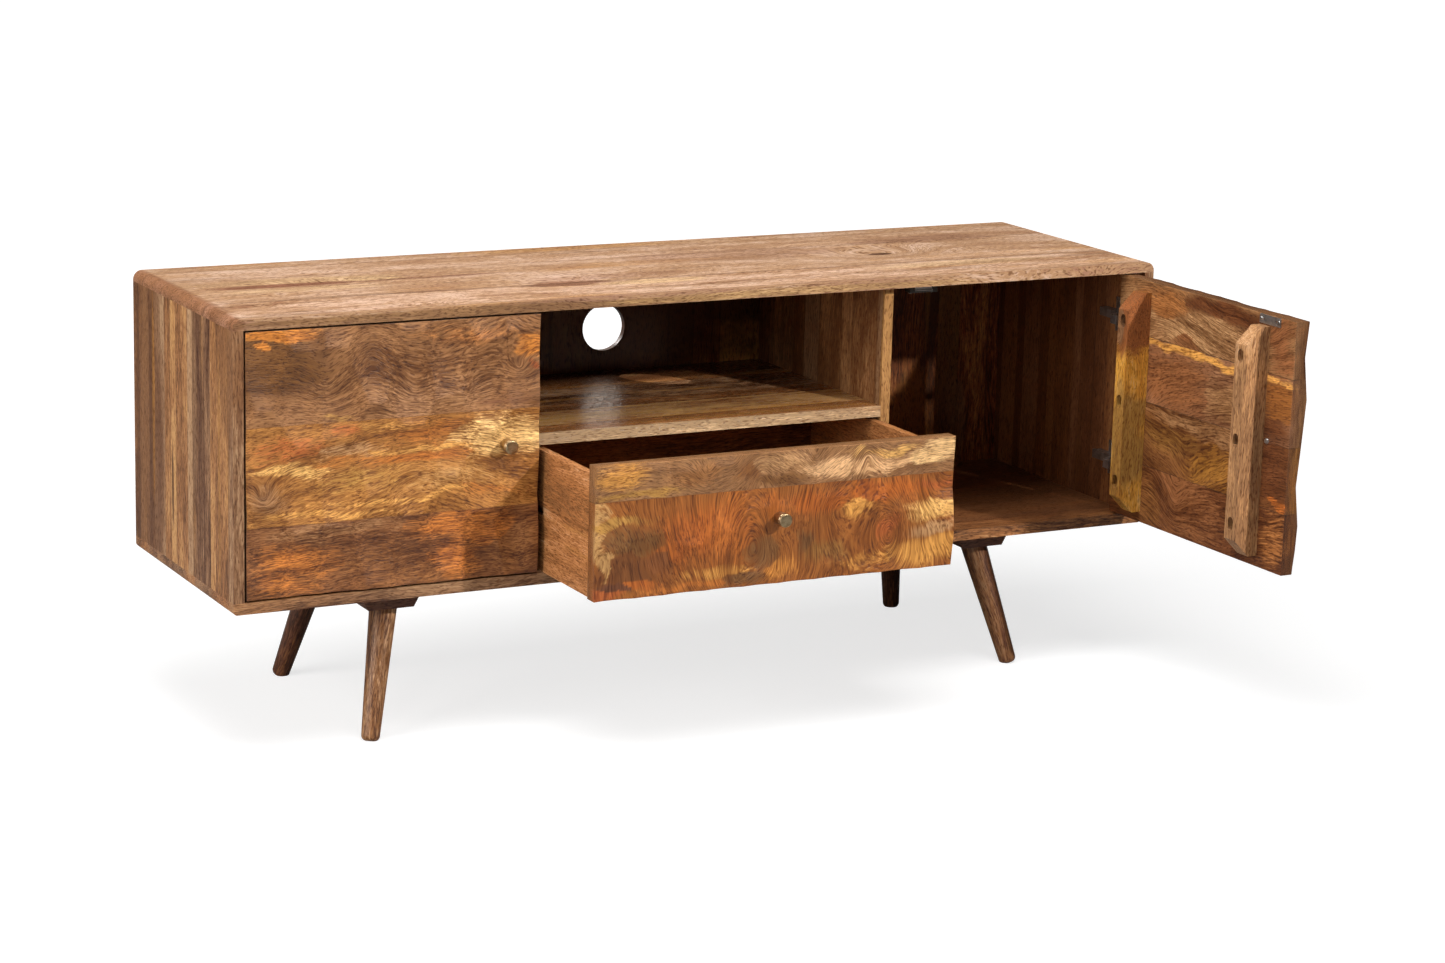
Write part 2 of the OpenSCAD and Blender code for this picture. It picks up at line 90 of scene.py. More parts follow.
# ---------------------------------------------------------------- shader graphs
class Graph:
    """Short names for the nodes of one shader tree."""

    def __init__(self, tree):
        self.tree = tree

    def node(self, kind, **settings):
        made = self.tree.nodes.new(kind)
        for key, value in settings.items():
            setattr(made, key, value)
        return made

    def find(self, kind):
        return next(n for n in self.tree.nodes if n.type == kind)

    def put(self, socket, value):
        if isinstance(value, bpy.types.NodeSocket):
            self.tree.links.new(value, socket)
        elif isinstance(value, tuple) and socket.type == "RGBA":
            socket.default_value = (*value[:3], 1.0)
        else:
            socket.default_value = value

    def math(self, op, a, b=0.0):
        n = self.node("ShaderNodeMath", operation=op)
        self.put(n.inputs[0], a)
        self.put(n.inputs[1], b)
        return n.outputs[0]

    def vector(self, op, a, b=(0.0, 0.0, 0.0)):
        n = self.node("ShaderNodeVectorMath", operation=op)
        self.put(n.inputs[0], a)
        self.put(n.inputs[1], b)
        return n.outputs["Value" if op in ("DOT_PRODUCT", "LENGTH") else "Vector"]

    def coordinates(self, kind="Object"):
        return self.node("ShaderNodeTexCoord").outputs[kind]

    def times(self, a, b):
        return self.math("MULTIPLY", a, b)

    def plus(self, a, b):
        return self.math("ADD", a, b)

    def swing(self, value, amount):
        """A noise value's distance from its middle, scaled."""
        return self.times(self.math("SUBTRACT", value, 0.5), amount)

    def scaled(self, a, factor):
        n = self.node("ShaderNodeVectorMath", operation="SCALE")
        self.put(n.inputs[0], a)
        self.put(n.inputs["Scale"], factor)
        return n.outputs["Vector"]

    def xyz(self, x, y, z):
        n = self.node("ShaderNodeCombineXYZ")
        for socket, value in zip(n.inputs, (x, y, z)):
            self.put(socket, value)
        return n.outputs[0]

    def split(self, vector):
        n = self.node("ShaderNodeSeparateXYZ")
        self.put(n.inputs[0], vector)
        return n.outputs

    def noise(self, place, scale, detail=2.0, rough=0.5, out="Fac"):
        n = self.node("ShaderNodeTexNoise")
        self.put(n.inputs["Vector"], self.vector("MULTIPLY", place, scale))
        n.inputs["Scale"].default_value = 1.0
        n.inputs["Detail"].default_value = detail
        n.inputs["Roughness"].default_value = rough
        return n.outputs[out]

    def random(self, value):
        n = self.node("ShaderNodeTexWhiteNoise", noise_dimensions="1D")
        self.put(n.inputs["W"], value)
        return n.outputs["Value"]

    def ramp(self, fac, low, high, out_low=0.0, out_high=1.0):
        n = self.node("ShaderNodeMapRange", interpolation_type="SMOOTHSTEP")
        self.put(n.inputs["Value"], fac)
        limits = {"From Min": low, "From Max": high, "To Min": out_low, "To Max": out_high}
        for name, value in limits.items():
            self.put(n.inputs[name], value)
        return n.outputs["Result"]

    def colours(self, fac, stops):
        n = self.node("ShaderNodeValToRGB")
        self.put(n.inputs[0], fac)
        ramp = n.color_ramp
        while len(ramp.elements) < len(stops):
            ramp.elements.new(0.5)
        for element, (place, colour) in zip(ramp.elements, stops):
            element.position = place
            element.color = (*colour, 1.0)
        return n.outputs["Color"]

    def mix(self, fac, a, b, blend="MIX"):
        n = self.node("ShaderNodeMix", data_type="RGBA", blend_type=blend)
        self.put(n.inputs[0], fac)
        self.put(n.inputs[6], a)
        self.put(n.inputs[7], b)
        return n.outputs[2]

    def surface(self, shader, colour, rough, height, relief):
        """Colour, roughness and fine relief of a Principled shader."""
        self.put(shader.inputs["Base Color"], colour)
        self.put(shader.inputs["Roughness"], rough)
        n = self.node("ShaderNodeBump")
        self.put(n.inputs["Height"], height)
        n.inputs["Distance"].default_value = relief
        n.inputs["Strength"].default_value = 1.0
        self.put(shader.inputs["Normal"], n.outputs["Normal"])


def new_material(name):
    material = bpy.data.materials.new(name)
    material.use_nodes = True
    graph = Graph(material.node_tree)
    return material, graph, graph.find("BSDF_PRINCIPLED")


def add_object(name, data):
    made = bpy.data.objects.new(name, data)
    bpy.context.scene.collection.objects.link(made)
    return made


def grain_group():
    """Figure of one board: grain in metres, x along the fibres. Gives broad bands, fine lines,
    pores, soft clouds and the ripple across curly grain."""
    tree = bpy.data.node_groups.new("wood_grain", "ShaderNodeTree")
    for name, kind in (("Grain", "Vector"), ("Seed", "Float"), ("Wild", "Float")):
        tree.interface.new_socket(name, in_out="INPUT", socket_type=f"NodeSocket{kind}")
    for name in ("Band", "Line", "Pore", "Cloud", "Curl"):
        tree.interface.new_socket(name, in_out="OUTPUT", socket_type="NodeSocketFloat")
    g = Graph(tree)
    given = g.node("NodeGroupInput")
    shift = g.scaled(g.xyz(3.71, 1.37, 2.13), given.outputs["Seed"])
    place = g.vector("ADD", given.outputs["Grain"], shift)
    swirl = g.noise(place, (3.0, 9.0, 9.0), 2.0, 0.5, "Color")
    swirl = g.scaled(g.vector("SUBTRACT", swirl, (0.5, 0.5, 0.5)), given.outputs["Wild"])
    swirl = g.vector("MULTIPLY", swirl, (0.0, 0.06, 0.06))
    bent = g.vector("ADD", place, swirl)
    result = g.node("NodeGroupOutput")
    g.put(result.inputs["Band"], g.noise(bent, (2.4, 40.0, 40.0), 5.0, 0.62))
    g.put(result.inputs["Line"], g.noise(bent, (30.0, 430.0, 430.0), 3.0, 0.65))
    pores = g.noise(bent, (115.0, 640.0, 640.0), 1.0)
    g.put(result.inputs["Pore"], g.ramp(pores, 0.5, 0.68))
    g.put(result.inputs["Cloud"], g.noise(place, (6.0, 19.0, 19.0), 4.0, 0.6))
    g.put(result.inputs["Curl"], g.noise(bent, (95.0, 26.0, 26.0)))
    return tree


GRAIN = grain_group()
AXES = {"x": (1.0, 0.0, 0.0), "y": (0.0, 1.0, 0.0), "z": (0.0, 0.0, 1.0)}
PORE_SHADE = (0.42, 0.32, 0.24)
JOINT_SHADE = (0.35, 0.28, 0.22)
RELIEF = 0.25 * MM


def staves(graph, across, width, seed):
    """Splits a panel into glued staves of uneven width. Gives a stave's random number and its joint line."""
    wobble = graph.times(graph.math("SINE", graph.times(across, 2.4 / width)), 0.27)
    place = graph.plus(graph.math("DIVIDE", across, width), wobble)
    place = graph.plus(place, seed * 1.618)
    index = graph.math("FLOOR", place)
    within = graph.math("FRACT", place)
    joint = graph.math("MAXIMUM", graph.ramp(within, 0.035, 0.0), graph.ramp(within, 0.965, 1.0))
    return graph.random(index), joint


def blob(graph, place, centre, radii, rough=0.0):
    """Squared distance from a centre in units of the radii, roughened by noise."""
    away = graph.vector("SUBTRACT", place, centre)
    away = graph.vector("MULTIPLY", away, tuple(1.0 / r for r in radii))
    square = graph.vector("DOT_PRODUCT", away, away)
    if rough:
        ragged = graph.noise(place, tuple(1.3 / r for r in radii), 4.0, 0.65)
        square = graph.plus(square, graph.swing(ragged, rough))
    return square


def finish_wood(graph, shader, colour, parts, gloss):
    """Pores, roughness and relief that every wood shares."""
    lines, pores = parts.outputs["Line"], parts.outputs["Pore"]
    colour = graph.mix(graph.times(pores, 0.85), colour, PORE_SHADE, "MULTIPLY")
    rough = graph.plus(graph.times(parts.outputs["Band"], 0.16), gloss)
    rough = graph.plus(rough, graph.times(pores, 0.12))
    height = graph.math("SUBTRACT", graph.times(lines, 0.5), graph.times(pores, 0.8))
    graph.surface(shader, colour, rough, height, RELIEF)
    shader.inputs["Specular IOR Level"].default_value = 0.36


def wood(name, axes, stops, cool=None, width=0.0, seed=1.0, wild=1.0, contrast=1.0, gloss=0.36,
         golden=0.0, spalt=0.0, spread=0.6, blots=(), knots=()):
    """Wood in straight boards. axes are the directions along, across and through them. stops run from the
    darkest tone to the lightest, and cool is the greyer set that some of the staves take. golden and spalt
    are the strengths of yellow patches and dark streaks. blots are (centre, radii, colour, strength) and
    knots (centre, radii, height)."""
    material, graph, shader = new_material(name)
    place = graph.coordinates()
    along, across, depth = [graph.vector("DOT_PRODUCT", place, AXES.get(axis, axis)) for axis in axes]
    offset = seed
    if width:
        tone, joint = staves(graph, across, width, seed)
        offset = graph.plus(graph.times(tone, 37.0), seed)
    curved = across
    for centre, radii, height in knots:
        hill = graph.math("EXPONENT", graph.times(blob(graph, place, centre, radii), -1.0))
        curved = graph.plus(curved, graph.times(hill, height))
    parts = graph.node("ShaderNodeGroup", node_tree=GRAIN)
    graph.put(parts.inputs["Grain"], graph.xyz(along, curved, depth))
    graph.put(parts.inputs["Seed"], offset)
    graph.put(parts.inputs["Wild"], wild)
    band = graph.swing(parts.outputs["Band"], 0.9 * contrast)
    line = graph.swing(parts.outputs["Line"], 1.3 * contrast)
    cloud = graph.swing(parts.outputs["Cloud"], 0.9 * contrast)
    level = graph.plus(graph.plus(band, 0.5), graph.plus(line, cloud))
    if width:
        level = graph.plus(level, graph.swing(tone, spread))

    def toned(colours):
        """The colours spread evenly over most of the level's range."""
        count = len(colours) - 1
        return graph.colours(level, [(0.14 + 0.72 * i / count, c) for i, c in enumerate(colours)])

    spot = graph.xyz(along, across, offset)
    colour = toned(stops)
    if cool:
        if width:
            share = graph.random(graph.times(tone, 91.0))
        else:
            share = graph.noise(spot, (1.1, 14.0, 5.0))
        colour = graph.mix(graph.ramp(share, 0.4, 0.62), colour, toned(cool))
    if golden:
        patch = graph.noise(spot, (2.2, 24.0, 9.0), 3.0, 0.6)
        colour = graph.mix(graph.times(graph.ramp(patch, 0.58, 0.7), golden), colour, GOLD)
    if spalt:
        streak = graph.noise(spot, (1.7, 30.0, 5.0), 4.0, 0.6)
        colour = graph.mix(graph.times(graph.ramp(streak, 0.57, 0.68), spalt), colour, DARK_BROWN)
    for centre, radii, tint, strength in blots:
        mask = graph.ramp(blob(graph, place, centre, radii, 2.4), 1.25, 0.45, 0.0, strength)
        shaded = graph.mix(graph.ramp(level, 0.2, 0.9, 0.55, 0.0), tint, DARK_BROWN)
        colour = graph.mix(mask, colour, shaded)
    if width:
        colour = graph.mix(graph.times(joint, 0.5), colour, JOINT_SHADE, "MULTIPLY")
    finish_wood(graph, shader, colour, parts, gloss)
    return material


SHADES = ((0.08, (0.36, 0.26, 0.19)), (0.34, (0.72, 0.64, 0.55)), (0.56, (1.1, 1.08, 1.03)),
          (0.92, (1.62, 1.68, 1.7)))
WARMTH = (1.0, 0.96, 0.86)


def painted_wood(name, contrast, gloss, curl, wild):
    """Wood for a modelled panel: 'grain' holds curved grain coordinates, 'tint' the board's tone, and 'patch'
    a second tone with its share in alpha, whose border breaks up along the fibres here."""
    material, graph, shader = new_material(name)
    grain = graph.node("ShaderNodeAttribute", attribute_name="grain").outputs["Vector"]
    tint = graph.node("ShaderNodeAttribute", attribute_name="tint").outputs["Color"]
    patch = graph.node("ShaderNodeAttribute", attribute_name="patch").outputs
    parts = graph.node("ShaderNodeGroup", node_tree=GRAIN)
    graph.put(parts.inputs["Grain"], grain)
    parts.inputs["Wild"].default_value = wild
    band, line, cloud = (parts.outputs[name] for name in ("Band", "Line", "Cloud"))
    share = graph.plus(patch["Alpha"], graph.swing(line, 1.3))
    share = graph.plus(share, graph.swing(cloud, 1.1))
    whole = graph.ramp(patch["Alpha"], 0.02, 0.25)
    colour = graph.mix(graph.times(graph.ramp(share, 0.2, 0.85), whole), tint, patch["Color"])
    level = graph.plus(graph.swing(band, 1.2 * contrast), graph.swing(line, 1.5 * contrast))
    level = graph.plus(graph.plus(level, 0.5), graph.swing(cloud, 0.8 * contrast))
    shade = graph.colours(level, SHADES)
    colour = graph.mix(1.0, graph.mix(1.0, colour, WARMTH, "MULTIPLY"), shade, "MULTIPLY")
    ripple = graph.plus(graph.swing(parts.outputs["Curl"], curl), 1.0)
    colour = graph.mix(1.0, colour, graph.xyz(ripple, ripple, ripple), "MULTIPLY")
    finish_wood(graph, shader, colour, parts, gloss)
    return material


def metal(name, colour, worn, rough, brush=(15.0, 15.0, 900.0)):
    """Satin metal with soft tarnish, and fine brushing that is closest along brush's largest axis."""
    material, graph, shader = new_material(name)
    place = graph.coordinates()
    tarnish = graph.noise(place, (90.0, 90.0, 90.0), 4.0, 0.6)
    fine = graph.noise(place, brush, 2.0, 0.6)
    tone = graph.mix(graph.ramp(tarnish, 0.4, 0.68), colour, worn)
    graph.surface(shader, tone, graph.plus(graph.times(fine, 0.22), rough), fine, 0.04 * MM)
    shader.inputs["Metallic"].default_value = 1.0
    return material


def plastic(name, colour, rough):
    """Moulded plastic with a fine grain."""
    material, graph, shader = new_material(name)
    place = graph.coordinates()
    grain = graph.noise(place, (1800.0, 1800.0, 1800.0), 2.0, 0.6)
    tone = graph.noise(place, (60.0, 60.0, 60.0))
    mottled = graph.mix(tone, colour, tuple(1.5 * c for c in colour))
    rough = graph.plus(graph.times(grain, 0.15), rough)
    graph.surface(shader, mottled, rough, grain, 0.03 * MM)
    return material


# ---------------------------------------------------------------- noise for the modelled panels
def smooth(share):
    """Ease from 0 to 1."""
    return share * share * (3 - 2 * share)


def lattice(x, z, seed):
    """Smooth value noise on numpy arrays, one value per unit cell corner."""
    xi, zi = np.floor(x).astype(np.int64), np.floor(z).astype(np.int64)
    fx, fz = smooth(x - xi), smooth(z - zi)

    def corner(i, j):
        h = (i * 374761393 + j * 668265263 + seed * 974634777) & 0xFFFFFFFF
        h = ((h ^ (h >> 13)) * 1274126177) & 0xFFFFFFFF
        return ((h ^ (h >> 16)) & 0xFFFF) / 65535.0

    low = corner(xi, zi) * (1 - fx) + corner(xi + 1, zi) * fx
    high = corner(xi, zi + 1) * (1 - fx) + corner(xi + 1, zi + 1) * fx
    return low * (1 - fz) + high * fz


def clouds(x, z, size, seed, octaves=4):
    """Layered noise from -1 to 1; size is the coarsest cell in metres."""
    total, weight, norm = 0.0, 1.0, 0.0
    for octave in range(octaves):
        total = total + weight * (lattice(x / size, z / size, seed + octave * 31) * 2 - 1)
        norm += weight
        weight *= 0.55
        size *= 0.5
    return total / norm


def bumps(x, z, hills):
    """Sum of peaked hills (x, z, radius x, radius z, height): rings of grain close round each one."""
    total = np.zeros_like(x)
    for hx, hz, rx, rz, height in hills:
        total += height * np.exp(-np.sqrt(((x - hx) / rx) ** 2 + ((z - hz) / rz) ** 2 + 0.03))
    return total


def patched(x, z, patches, seed):
    """Strongest patch at each point, with its share in alpha. Patches are (x, z, radius x, radius z,
    colour, strength)."""
    colour = np.zeros(x.shape + (4,))
    colour[..., :3] = GREY_BROWN
    wx = x + 0.03 * clouds(x, z * 2.2, 0.09, seed)
    wz = z + 0.014 * clouds(x, z * 1.5, 0.05, seed + 7)
    for px, pz, rx, rz, tone, strength in patches:
        reach = np.sqrt(((wx - px) / rx) ** 2 + ((wz - pz) / rz) ** 2)
        share = np.clip(1.25 - 0.62 * reach, 0, 1) * strength
        better = share > colour[..., 3]
        colour[better, :3] = tone
        colour[better, 3] = share[better]
    return colour


# ---------------------------------------------------------------- scooped fronts
SCOOP_WIDTH = 53.5 * MM
GOUGE_ACROSS = 0.15  # radius of the gouge's cut across a stroke, and along it
GOUGE_ALONG = 0.36
CUP_RADIUS = 16.9 * MM
CUP_DEPTH = 11.4 * MM
LIP = 1.3 * MM  # reach of the close grid lines at an edge
EASE = 0.7 * MM
JOINT_LINES = (-0.85 * MM, -0.35 * MM, 0.35 * MM, 0.85 * MM)
JOINT_CLEAR = 1.1 * MM


def scoop_field(x, z, width, height, rows, seed):
    """Height of a face cut by rows of shallow gouge strokes, about 0 at the bottom of a stroke."""
    rng = np.random.default_rng(seed)
    columns = max(1, round(width / SCOOP_WIDTH))
    best = np.full(x.shape, 1.0)
    for column in range(-1, columns + 1):
        slide = rng.uniform(-0.3, 0.3)
        for row in range(-1, rows + 1):
            cx = (column + 0.5) * width / columns + rng.uniform(-4, 4) * MM
            cz = (row + 0.5 + slide + rng.uniform(-0.1, 0.1)) * height / rows
            depth = rng.uniform(0, 1.2) * MM
            cut = (x - cx) ** 2 / (2 * GOUGE_ACROSS) + (z - cz) ** 2 / (2 * GOUGE_ALONG) - depth
            best = np.minimum(best, cut)
    return best


def spaced(length, step, cuts=()):
    """Grid lines over a length: close ones at each end for the eased edge, and four at each glue joint."""
    count = max(2, round((length - 4 * LIP) / step))
    lines = [v for v in np.linspace(2 * LIP, length - 2 * LIP, count + 1)
             if all(abs(v - c) > JOINT_CLEAR for c in cuts)]
    for cut in cuts:
        lines += [cut + away for away in JOINT_LINES]
    return np.array(sorted([0, LIP * 0.4, LIP] + lines + [length - LIP, length - LIP * 0.4, length]))


def rim_distance(x, z, size):
    """Distance to the nearest edge of a panel."""
    return np.minimum.reduce([x, size[0] - x, z, size[2] - z])


def slab(name, low, high, step, front, cuts=(), place=None, hollows=()):
    """A panel between two corners, facing -Y. front(x, z) gives its face's y shift from the CAD plane, from
    coordinates that start at the panel's lower left corner. hollows are the centres of the hinge cups'
    recesses in its back. Returns the object, those coordinates and the number of vertices on the front."""
    size = np.array(high) - np.array(low)
    xs, zs = spaced(size[0], step), spaced(size[2], step, cuts)
    x, z = np.meshgrid(xs, zs, indexing="ij")
    inward = np.clip(rim_distance(x, z, size) / EASE, 0, 1)
    rounding = EASE * (1 - np.sqrt(np.clip(1 - (1 - inward) ** 2, 0, 1)))
    back = size[1] - rounding
    for at_x, at_z in hollows:
        back = np.where(np.hypot(x - at_x, z - at_z) < CUP_RADIUS, size[1] - CUP_DEPTH, back)
    nx, nz = x.shape
    points = np.concatenate([np.stack([x, front(x, z) + rounding, z], -1).reshape(-1, 3),
                             np.stack([x, back, z], -1).reshape(-1, 3)])
    index = np.arange(nx * nz).reshape(nx, nz)
    rear = index + nx * nz
    faces = []
    for grid, flip in ((index, False), (rear, True)):
        quads = np.stack([grid[:-1, :-1], grid[1:, :-1], grid[1:, 1:], grid[:-1, 1:]], -1).reshape(-1, 4)
        faces.append(quads[:, ::-1] if flip else quads)
    rim = np.concatenate([index[:, 0], index[-1, 1:], index[-2::-1, -1], index[0, -2:0:-1]])
    rim_rear = rim + nx * nz
    faces.append(np.stack([np.roll(rim, -1), rim, rim_rear, np.roll(rim_rear, -1)], -1))
    mesh = bpy.data.meshes.new(name)
    world = points + np.array(low)
    if place is not None:
        world = world @ np.array(place.to_3x3()).T + np.array(place.translation)
    mesh.from_pydata(world.tolist(), [], np.concatenate(faces).tolist())
    mesh.polygons.foreach_set("use_smooth", [True] * len(mesh.polygons))
    mesh.set_sharp_from_angle(angle=math.radians(38))
    mesh.update()
    return add_object(name, mesh), points, nx * nz


def write_attributes(made, grain, tint, patch):
    """Stores curved grain coordinates and tones on a mesh's vertices."""
    layer = made.data.attributes.new("grain", "FLOAT_VECTOR", "POINT")
    layer.data.foreach_set("vector", np.ascontiguousarray(grain, dtype=np.float32).ravel())
    for name, rgba in (("tint", tint), ("patch", patch)):
        layer = made.data.attributes.new(name, "FLOAT_COLOR", "POINT")
        layer.data.foreach_set("color", np.ascontiguousarray(rgba, dtype=np.float32).ravel())


# ---------------------------------------------------------------- camera, light and floor
CAMERA_AT = (-2.2519, -4.2628, 1.4464)
CAMERA_YAW, CAMERA_PITCH, CAMERA_ROLL = (math.radians(a) for a in (27.9, -13.04, 1.58))
CAMERA_LENS = 86.95
SENSOR_WIDTH = 36.0
FLOOR_REACH = 60.0


def add_camera():
    data = bpy.data.cameras.new("camera")
    data.lens = CAMERA_LENS
    data.sensor_width = SENSOR_WIDTH
    data.clip_end = 200.0
    camera = add_object("camera", data)
    east, north = math.sin(CAMERA_YAW), math.cos(CAMERA_YAW)
    ahead = Vector((east * math.cos(CAMERA_PITCH), north * math.cos(CAMERA_PITCH), math.sin(CAMERA_PITCH)))
    level = Vector((north, -east, 0.0))
    upright = level.cross(ahead)
    right = math.cos(CAMERA_ROLL) * level + math.sin(CAMERA_ROLL) * upright
    up = -math.sin(CAMERA_ROLL) * level + math.cos(CAMERA_ROLL) * upright
    turn = Matrix((right, up, -ahead)).transposed()
    camera.matrix_world = Matrix.Translation(CAMERA_AT) @ turn.to_4x4()
    bpy.context.scene.camera = camera


def add_area(name, at, aim, size, power, colour=(1.0, 1.0, 1.0)):
    data = bpy.data.lights.new(name, "AREA")
    data.shape = "RECTANGLE"
    data.size, data.size_y = size
    data.energy = power
    data.color = colour
    light = add_object(name, data)
    light.location = at
    light.rotation_euler = (Vector(aim) - Vector(at)).to_track_quat("-Z", "Y").to_euler()
    return light


def add_stage():
    """A floor with a glow that only the camera sees, which keeps it white round the shadow, and a studio
    that is bright behind and above the object."""
    mesh = bpy.data.meshes.new("floor")
    corners = [(FLOOR_REACH * x, FLOOR_REACH * y, 0) for x, y in ((-1, -1), (1, -1), (1, 1), (-1, 1))]
    mesh.from_pydata(corners, [], [(0, 1, 2, 3)])
    floor = add_object("floor", mesh)
    material, graph, shader = new_material("studio_floor")
    place = graph.coordinates()
    tone = graph.noise(place, (3.0, 3.0, 3.0))
    graph.put(shader.inputs["Base Color"], graph.mix(tone, (0.44, 0.44, 0.44), (0.46, 0.46, 0.46)))
    shader.inputs["Roughness"].default_value = 0.9
    shader.inputs["Specular IOR Level"].default_value = 0.0
    glow = graph.node("ShaderNodeEmission")
    glow.inputs["Color"].default_value = (1.0, 1.0, 1.0, 1.0)
    seen = graph.node("ShaderNodeLightPath").outputs["Is Camera Ray"]
    near = graph.ramp(graph.vector("LENGTH", place), 1.0, 3.5, 0.74, 1.05)
    graph.put(glow.inputs["Strength"], graph.times(seen, near))
    both = graph.node("ShaderNodeAddShader")
    graph.put(both.inputs[0], shader.outputs[0])
    graph.put(both.inputs[1], glow.outputs[0])
    graph.put(graph.find("OUTPUT_MATERIAL").inputs["Surface"], both.outputs[0])
    mesh.materials.append(material)

    world = bpy.data.worlds.new("studio")
    bpy.context.scene.world = world
    world.use_nodes = True
    graph = Graph(world.node_tree)
    _, toward_back, height = graph.split(graph.coordinates("Generated"))
    behind = graph.ramp(toward_back, -0.15, 0.6, 0.1, 0.95)
    above = graph.ramp(height, 0.2, 0.9, 0.0, 0.35)
    soft = graph.plus(behind, above)
    seen = graph.node("ShaderNodeLightPath").outputs["Is Camera Ray"]
    bright = graph.math("MAXIMUM", soft, graph.times(seen, 1.2))
    graph.put(graph.find("BACKGROUND").inputs["Strength"], bright)


bpy.context.scene.view_settings.view_transform = "Standard"
add_camera()
add_stage()
# The key light is small and low on the right, so that it draws the drawer's shadow on the left door.
key_way = Vector((0.57, -0.98, 0.56)).normalized()
key_at = Vector((-0.2, 0.0, 0.35)) + key_way * 4.2
key = add_area("key", key_at, (-0.1, 0.0, 0.35), (0.12, 0.12), 124.0, (1.0, 0.97, 0.93))
unlit = bpy.data.collections.new("unlit_by_key")
unlit.objects.link(bpy.data.objects["floor"])
unlit.collection_objects[0].light_linking.link_state = "EXCLUDE"
key.light_linking.receiver_collection = unlit
middle = (0.0, 0.1, 0.35)
add_area("overhead", (-0.4, -0.5, 3.0), middle, (2.4, 1.6), 90.0)
add_area("left_fill", (-4.2, -0.7, 1.6), middle, (3.0, 2.6), 145.0, (1.0, 0.98, 0.96))
add_area("front_strip", (-3.0, -3.4, 2.0), middle, (0.5, 1.6), 16.0)
# A narrow beam comes in through the cable hole, and a faint lamp behind it gives the shelf its soft gleam.
MOUNTS = {m["name"]: Vector(m["pos_m"]) for m in frame["record"]["mounts"]}
hole_at = MOUNTS["cable_hole"]
through = Vector((-0.36, 0.75, 0.53)).normalized()
beam = bpy.data.lights.new("beam", "SPOT")
beam.spot_size = math.radians(2.4)
beam.spot_blend = 0.0
beam.shadow_soft_size = 0.02
beam.energy = 560.0
beam_at = add_object("beam", beam)
beam_at.location = hole_at + through * 3.0
beam_at.rotation_euler = (-through).to_track_quat("-Z", "Y").to_euler()
gleam_aim = hole_at + Vector((0.1, 0.0, 0.045))
add_area("behind", gleam_aim + Vector((0.0, 0.15, 0.0)), gleam_aim, (0.2, 0.13), 0.08, (1.0, 0.9, 0.8))

# ---------------------------------------------------------------- materials of the case
FACE_REACH = 0.1


def blots_at(axis, level, *rows):
    """Blots on a face square to an axis (0 x, 1 y, 2 z) at a level. Each row holds the other two coordinates,
    their two radii, the colour and the strength."""
    made = []
    for first, second, first_radius, second_radius, colour, strength in rows:
        centre, radii = [first, second], [first_radius, second_radius]
        centre.insert(axis, level)
        radii.insert(axis, FACE_REACH)
        made.append((tuple(centre), tuple(radii), colour, strength))
    return made


top_low, top_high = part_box("top_panel")
top_level = top_high[2]
top_face = blots_at(
    2, top_level, (-0.55, 0.255, 0.16, 0.022, CREAM, 0.6), (-0.55, 0.19, 0.14, 0.014, CREAM, 0.5),
    (-0.57, 0.225, 0.12, 0.014, paint(150, 96, 70), 0.9), (-0.43, 0.235, 0.05, 0.01, CREAM, 0.8),
    (-0.35, 0.225, 0.12, 0.008, UMBER, 0.8), (-0.19, 0.115, 0.07, 0.022, UMBER, 0.9),
    (-0.1, 0.15, 0.14, 0.02, UMBER, 0.4), (-0.06, 0.095, 0.09, 0.018, CREAM, 0.8),
    (-0.06, 0.395, 0.18, 0.018, GOLD, 0.5), (0.365, 0.197, 0.02, 0.01, DARK_BROWN, 0.9),
    (0.15, 0.26, 0.2, 0.05, UMBER, 0.4), (0.5, 0.3, 0.14, 0.03, UMBER, 0.6),
    (0.45, 0.09, 0.16, 0.02, CREAM, 0.6))
top_edges = [((-0.724, 0.2, top_level - 0.008), (0.02, 0.5, 0.013), paint(150, 94, 56), 0.75),
             ((-0.35, 0.0, top_level - 0.01), (0.4, 0.003, 0.008), paint(158, 116, 72), 0.9),
             ((0.1, 0.0, top_level - 0.009), (0.3, 0.003, 0.006), paint(206, 164, 106), 0.7)]
top_knots = [((x, y, top_level), (x_radius, y_radius, 1.0), height) for x, y, x_radius, y_radius, height in (
    (0.365, 0.197, 0.09, 0.05, 0.09), (-0.52, 0.225, 0.1, 0.03, 0.04), (-0.19, 0.12, 0.09, 0.04, 0.04))]
top_wood = wood(
    "top_wood", "xyz", [UMBER, GREY_TAN, paint(206, 168, 142), paint(220, 188, 162)],
    [paint(160, 118, 92), GREY_TAN, paint(206, 172, 148)], width=0.125, seed=3.0, wild=1.6, contrast=1.25,
    gloss=0.44, golden=0.3, spalt=0.35, spread=0.2, blots=top_face + top_edges, knots=top_knots)

